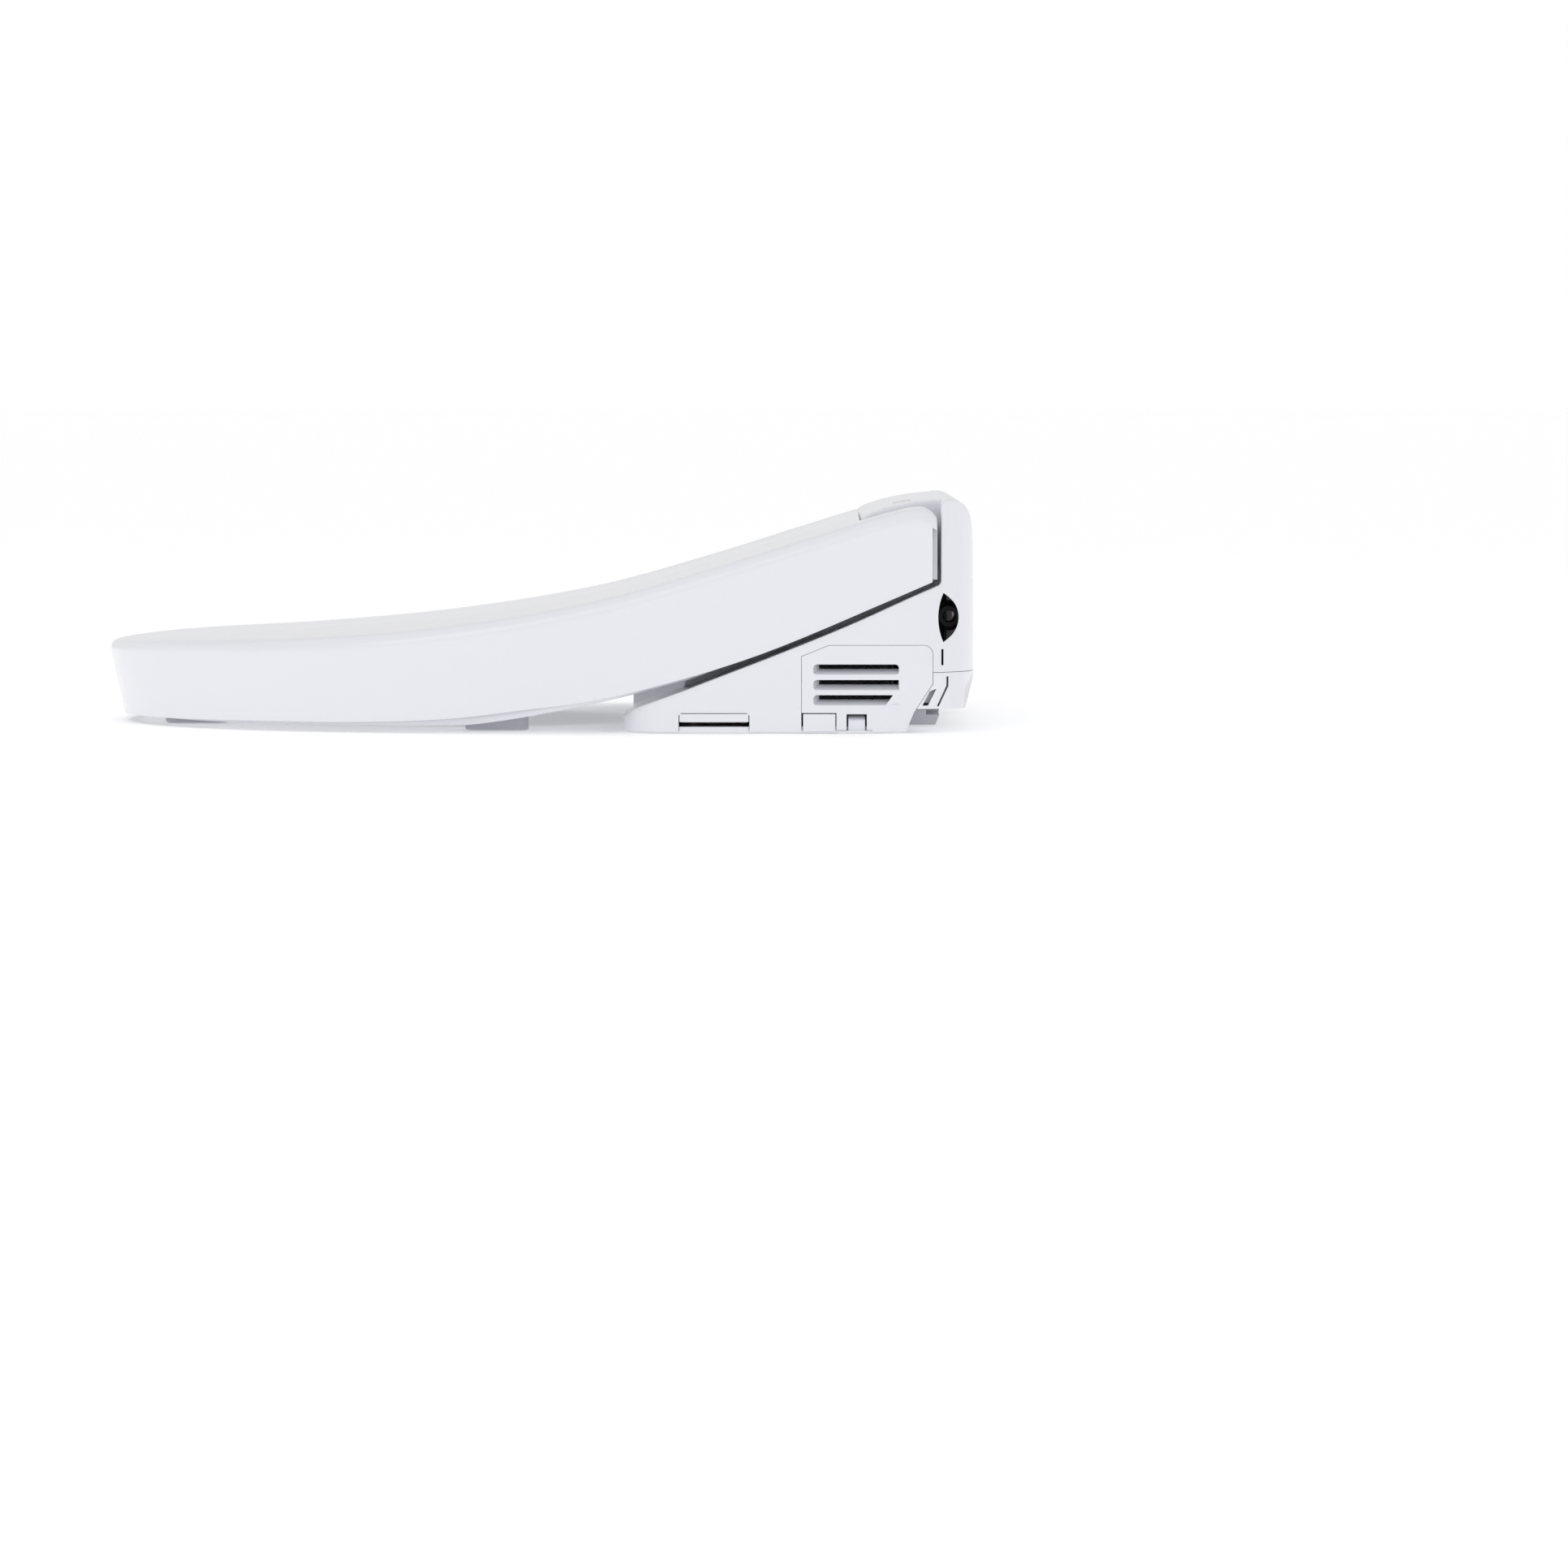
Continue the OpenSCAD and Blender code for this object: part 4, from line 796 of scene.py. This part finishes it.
for piece, node, wall, turned in ((seat_upper, "seat_top", 3, -1), (seat_lower, "seat_bottom", 2.4, 1)):
    shell = piece.modifiers.new("wall", "SOLIDIFY")
    shell.thickness, shell.offset = wall * MM, turned
    apply_modifiers(piece)
    crisp(piece, 50)
    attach(piece, "seat")
    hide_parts(node)


# ---- Vent baffles ----
# Thin grey plates inside the lower case's rear corners, a little way behind the wall. They let air
# out through the slots and keep splashes and fingers away from the boards.
satin_grey = moulding("satin_grey_plastic", (0.56, 0.57, 0.61), (0.6, 0.61, 0.64), 0.42, peel=0.8,
                      peel_scale=500)


def corner_skin(inset):
    form = prism(case_plan(inset), "Z", 17, 33.5)
    for facet in corner_facets(inset):
        combine(form, facet, "DIFFERENCE")
    return form


for side, flank in ((1, "left"), (-1, "right")):
    baffle = combine(corner_skin(4), corner_skin(5), "DIFFERENCE")
    ends = sorted((side * 150, side * 186))
    combine(baffle, block((ends[0], 21, 17.5), (ends[1], 43, 33)), "INTERSECT")
    baffle.name = "vent_baffle_" + flank
    baffle.data.materials[0] = satin_grey
    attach(crisp(baffle), "unit")


# ---- Case screws ----
# Zinc-plated steel screws that hold the lower case from below: a pan head with a cross recess,
# four under the front part and four under the overhang.
def metal(name, colour, roughness, grain, **sockets):
    """A metal with fine machining or drawing lines; grain squeezes them along X, Y and Z."""
    material, shader, tree = paint(name, colour, Metallic=1.0, **sockets)
    lines = noise_at(tree, 120.0, 4.0, grain)
    bump = tree.nodes.new("ShaderNodeBump")
    bump.inputs["Distance"].default_value = 0.00003
    join(tree, lines, bump.inputs["Height"])
    join(tree, bump.outputs["Normal"], shader.inputs["Normal"])
    swing = math_node(tree, "MULTIPLY_ADD", lines, 0.16)
    swing.node.inputs[2].default_value = roughness - 0.08
    join(tree, swing, shader.inputs["Roughness"])
    return material


turned_steel = metal("turned_steel", (0.62, 0.63, 0.65), 0.28, (6, 0.4, 0.4))


def revolved(name, profile, steps, material):
    """A round piece about Z from (radius, height) points."""
    points, faces = [], []
    rows = len(profile)
    for k in range(steps):
        a = 2 * math.pi * k / steps
        points += [(r * math.cos(a), r * math.sin(a), z) for r, z in profile]
        near, far = k * rows, (k + 1) % steps * rows
        faces += [(near + r, far + r, far + r + 1, near + r + 1) for r in range(rows - 1)]
    for end in (0, rows - 1):
        if profile[end] != profile[end - 1 if end == 0 else 0]:
            faces.append(tuple(k * rows + end for k in range(steps)))
    return skin_object(name, points, faces, material)


def screw_head(name, x, y, top):
    head = revolved(name, [(3.4, top), (3.4, top - 0.5), (3.2, top - 0.75), (2.7, top - 0.9),
                           (1.9, top - 0.96), (0.3, top - 0.98)], 40, turned_steel)
    for wide, deep in ((2.1, 0.36), (0.36, 2.1)):
        combine(head, block((-wide, -deep, top - 2), (wide, deep, top - 0.45)), "DIFFERENCE")
    head.data.transform(Matrix.Translation((x * MM, y * MM, 0)))
    head.data.materials.clear()
    head.data.materials.append(turned_steel)
    return crisp(head)


SCREWS = [(130, -62, 1.19), (130, -18, 1.19), (60, 43, 13.9), (120, 43, 13.9)]
for side, flank in ((1, "left"), (-1, "right")):
    for number, (x, y, top) in enumerate(SCREWS, 1):
        screw = screw_head("case_screw_" + flank + "_" + str(number), side * x, y, top)
        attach(screw, "unit")
        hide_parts("case_screws")


# ---- Water inlet ----
# The chromed brass union for the supply hose: a half-inch pipe thread on its outside, a hexagon
# for the spanner behind it, and a tail into the valve.
chrome = metal("chromed_brass", (0.72, 0.73, 0.75), 0.14, (5, 1, 1))


def inlet_union():
    pitch, crest, root = 1.81, 10.4, 9.3
    bore = 6.05
    line = [(bore, 140), (7.95, 140), (7.95, 170), (root, 170.5)]
    place = 171.6
    while place < 184.5:
        line += [(root, place), (crest, place + 0.66), (crest, place + 0.98), (root, place + 1.62)]
        place += pitch
    line += [(root, 186.2), (9, 186.9), (6.6, 186.9), (bore, 186.3), (bore, 140)]
    union = revolved("water_union", line, 96, chrome)
    collar = prism(arc(0, 0, 12.95, 0, 300, 5), "Z", 166, 171)
    combine(collar, prism(arc(0, 0, 7, 0, 350, 35), "Z", 160, 180), "DIFFERENCE")
    combine(union, collar, "UNION")
    turn = Matrix.Translation((0, INLET[0] * MM, INLET[1] * MM)) @ Matrix.Rotation(math.radians(-90), 4, "Y")
    union.data.transform(turn)
    union.data.materials.clear()
    union.data.materials.append(chrome)
    return crisp(union, 28)


union = inlet_union()
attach(union, "unit")
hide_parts("water_inlet")


# ---- Wand nozzle ----
# The wand's white moulded tip: a rounded nose with a flat spray face on top, two spray holes, and
# a spigot pushed into the end of the tube.
def wand_nozzle():
    line = [(0.1, 0.42), (1.6, 0.5), (3, 0.9), (4.3, 1.6), (5.5, 2.6), (6.4, 3.8), (7.05, 5.2), (7.35, 6.8),
            (7.4, 13.5), (7.2, 13.85), (5.5, 13.85), (5.5, 19.2), (5.2, 19.5), (0.1, 19.5)]
    nozzle = revolved("wand_nozzle", line, 64, gloss_white)
    nozzle.data.transform(Matrix.Rotation(math.radians(-90), 4, "X"))
    combine(nozzle, block((-8, -1, 6.3), (8, 12.6, 9)), "DIFFERENCE")
    for y in (6, 9.5):
        combine(nozzle, prism(arc(0, y, 0.8, 0, 350, 23), "Z", 3, 8), "DIFFERENCE")
    tilt = Matrix.Translation(wand_mouth * MM) @ Matrix.Rotation(WAND_TILT, 4, "X")
    nozzle.data.transform(tilt)
    return crisp(nozzle, 30)


nozzle = wand_nozzle()
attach(nozzle, "wand")
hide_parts("wand_tip")


# ---- Frame pieces that keep their CAD shape ----
# Their sharp edges are rounded as a mould rounds them, and each gets the finish of its plastic,
# rubber or metal; the lid's hinge arms are grey as painted shade in the gap behind the ears.
def smooth_shading():
    tree = bpy.data.node_groups.new("smooth_shading", "GeometryNodeTree")
    tree.interface.new_socket("Geometry", in_out="INPUT", socket_type="NodeSocketGeometry")
    tree.interface.new_socket("Geometry", in_out="OUTPUT", socket_type="NodeSocketGeometry")
    start = tree.nodes.new("NodeGroupInput")
    shade = tree.nodes.new("GeometryNodeSetShadeSmooth")
    end = tree.nodes.new("NodeGroupOutput")
    tree.links.new(start.outputs["Geometry"], shade.inputs["Geometry"])
    tree.links.new(shade.outputs["Geometry"], end.inputs["Geometry"])
    return tree


shading = smooth_shading()


def finish_node(name, material, width):
    """Gives a CAD node its material and rounds its edges by width in millimetres."""
    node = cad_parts[name]
    for slot in node.material_slots:
        slot.link = "OBJECT"
        slot.material = material
    weld = node.modifiers.new("weld", "WELD")
    weld.merge_threshold = 0.004 * MM
    flat = node.modifiers.new("join_flat_faces", "DECIMATE")
    flat.decimate_type, flat.angle_limit = "DISSOLVE", math.radians(0.4)
    smooth = node.modifiers.new("smooth_shading", "NODES")
    smooth.node_group = shading
    if width:
        round_edges(node, width, angle=32, segments=2)


inner_grey = moulding("inner_grey_plastic", (0.22, 0.23, 0.25), (0.27, 0.28, 0.3), 0.5, peel=1.0,
                      peel_scale=700)
black_plastic = moulding("black_plastic", (0.012, 0.012, 0.014), (0.02, 0.02, 0.022), 0.4, peel=0.8,
                         peel_scale=700)
black_rubber = moulding("black_rubber", (0.014, 0.014, 0.015), (0.026, 0.025, 0.025), 0.68,
                        unevenness=0.15, peel=1.0, peel_scale=900, dust=0.2, relief=0.0001)
bumper_rubber = moulding("grey_bumper_rubber", (0.5, 0.51, 0.57), (0.55, 0.56, 0.61), 0.5,
                         peel=0.8, peel_scale=700, dust=0.12, Subsurface_Weight=0.1, Subsurface_Scale=0.003)
smoked_clear = moulding("smoked_window", (0.012, 0.014, 0.018), (0.016, 0.018, 0.022), 0.1, Coat_Weight=0.6)
acetal = moulding("natural_acetal", (0.78, 0.77, 0.7), (0.82, 0.81, 0.75), 0.38, Subsurface_Weight=0.15,
                  Subsurface_Scale=0.003)
silicone = moulding("milky_silicone", (0.7, 0.72, 0.74), (0.76, 0.77, 0.78), 0.34, dust=0.15,
                    Subsurface_Weight=0.3, Subsurface_Scale=0.004)
board = moulding("circuit_board", (0.012, 0.12, 0.045), (0.02, 0.15, 0.06), 0.35, peel=1.0, peel_scale=1500)
plated_steel = metal("plated_steel", (0.55, 0.56, 0.58), 0.36, (1, 1, 5))
cast_aluminium = metal("cast_aluminium", (0.62, 0.63, 0.65), 0.48, (1, 1, 1))
heating_foil = metal("heating_foil", (0.62, 0.5, 0.38), 0.3, (3, 1, 1))
resistance_wire = metal("resistance_wire", (0.5, 0.3, 0.16), 0.38, (1, 4, 4))

FINISHES = {
    "lower_case": (gloss_white, 0.5), "base_plate": (satin_grey, 0.6), "base_pads": (black_rubber, 0.3),
    "hinge_bushes": (black_plastic, 0.3), "lid_damper": (black_plastic, 0.5),
    "seat_damper": (black_plastic, 0.5), "indicator_window": (smoked_clear, 0.3),
    "seat_sensor_window": (smoked_clear, 0.3), "cord_gland": (black_rubber, 0.6),
    "drain_knob": (satin_grey, 0.5), "release_button": (gloss_white, 0.4),
    "release_spring": (turned_steel, 0), "filter_tray": (gloss_white, 0.35), "tray_mesh": (plated_steel, 0),
    "wand_guide": (inner_grey, 0.4), "wand_tube": (gloss_white, 0.12), "wand_motor": (plated_steel, 0.4),
    "wand_pinion": (acetal, 0.1), "dryer_housing": (inner_grey, 0.5), "dryer_fan": (black_plastic, 0.15),
    "dryer_flap": (gloss_white, 0.4), "dryer_heater": (resistance_wire, 0.1),
    "air_fan": (black_plastic, 0.15), "air_fan_housing": (inner_grey, 0.4),
    "water_heater": (cast_aluminium, 0.6), "inlet_valve": (black_plastic, 0.5),
    "water_pump": (black_plastic, 0.6), "air_gap_valve": (gloss_white, 0.5), "flow_switch": (acetal, 0.4),
    "control_board": (board, 0.1), "power_board": (board, 0.1), "water_hoses": (silicone, 0),
    "seat_heater": (heating_foil, 0), "seat_bumpers": (bumper_rubber, 1.4),
    "seat_hinge_arms": (gloss_white, 0.8), "lid_bumpers": (bumper_rubber, 1.0),
    # The lid's hinge arms get satin grey as painted shade: their wall shows as the shaded band behind each
    # ear.
    "lid_hinge_arms": (satin_grey, 0.6), "lid_hinge_pins": (turned_steel, 0.4)}
for name, (material, width) in FINISHES.items():
    finish_node(name, material, width)
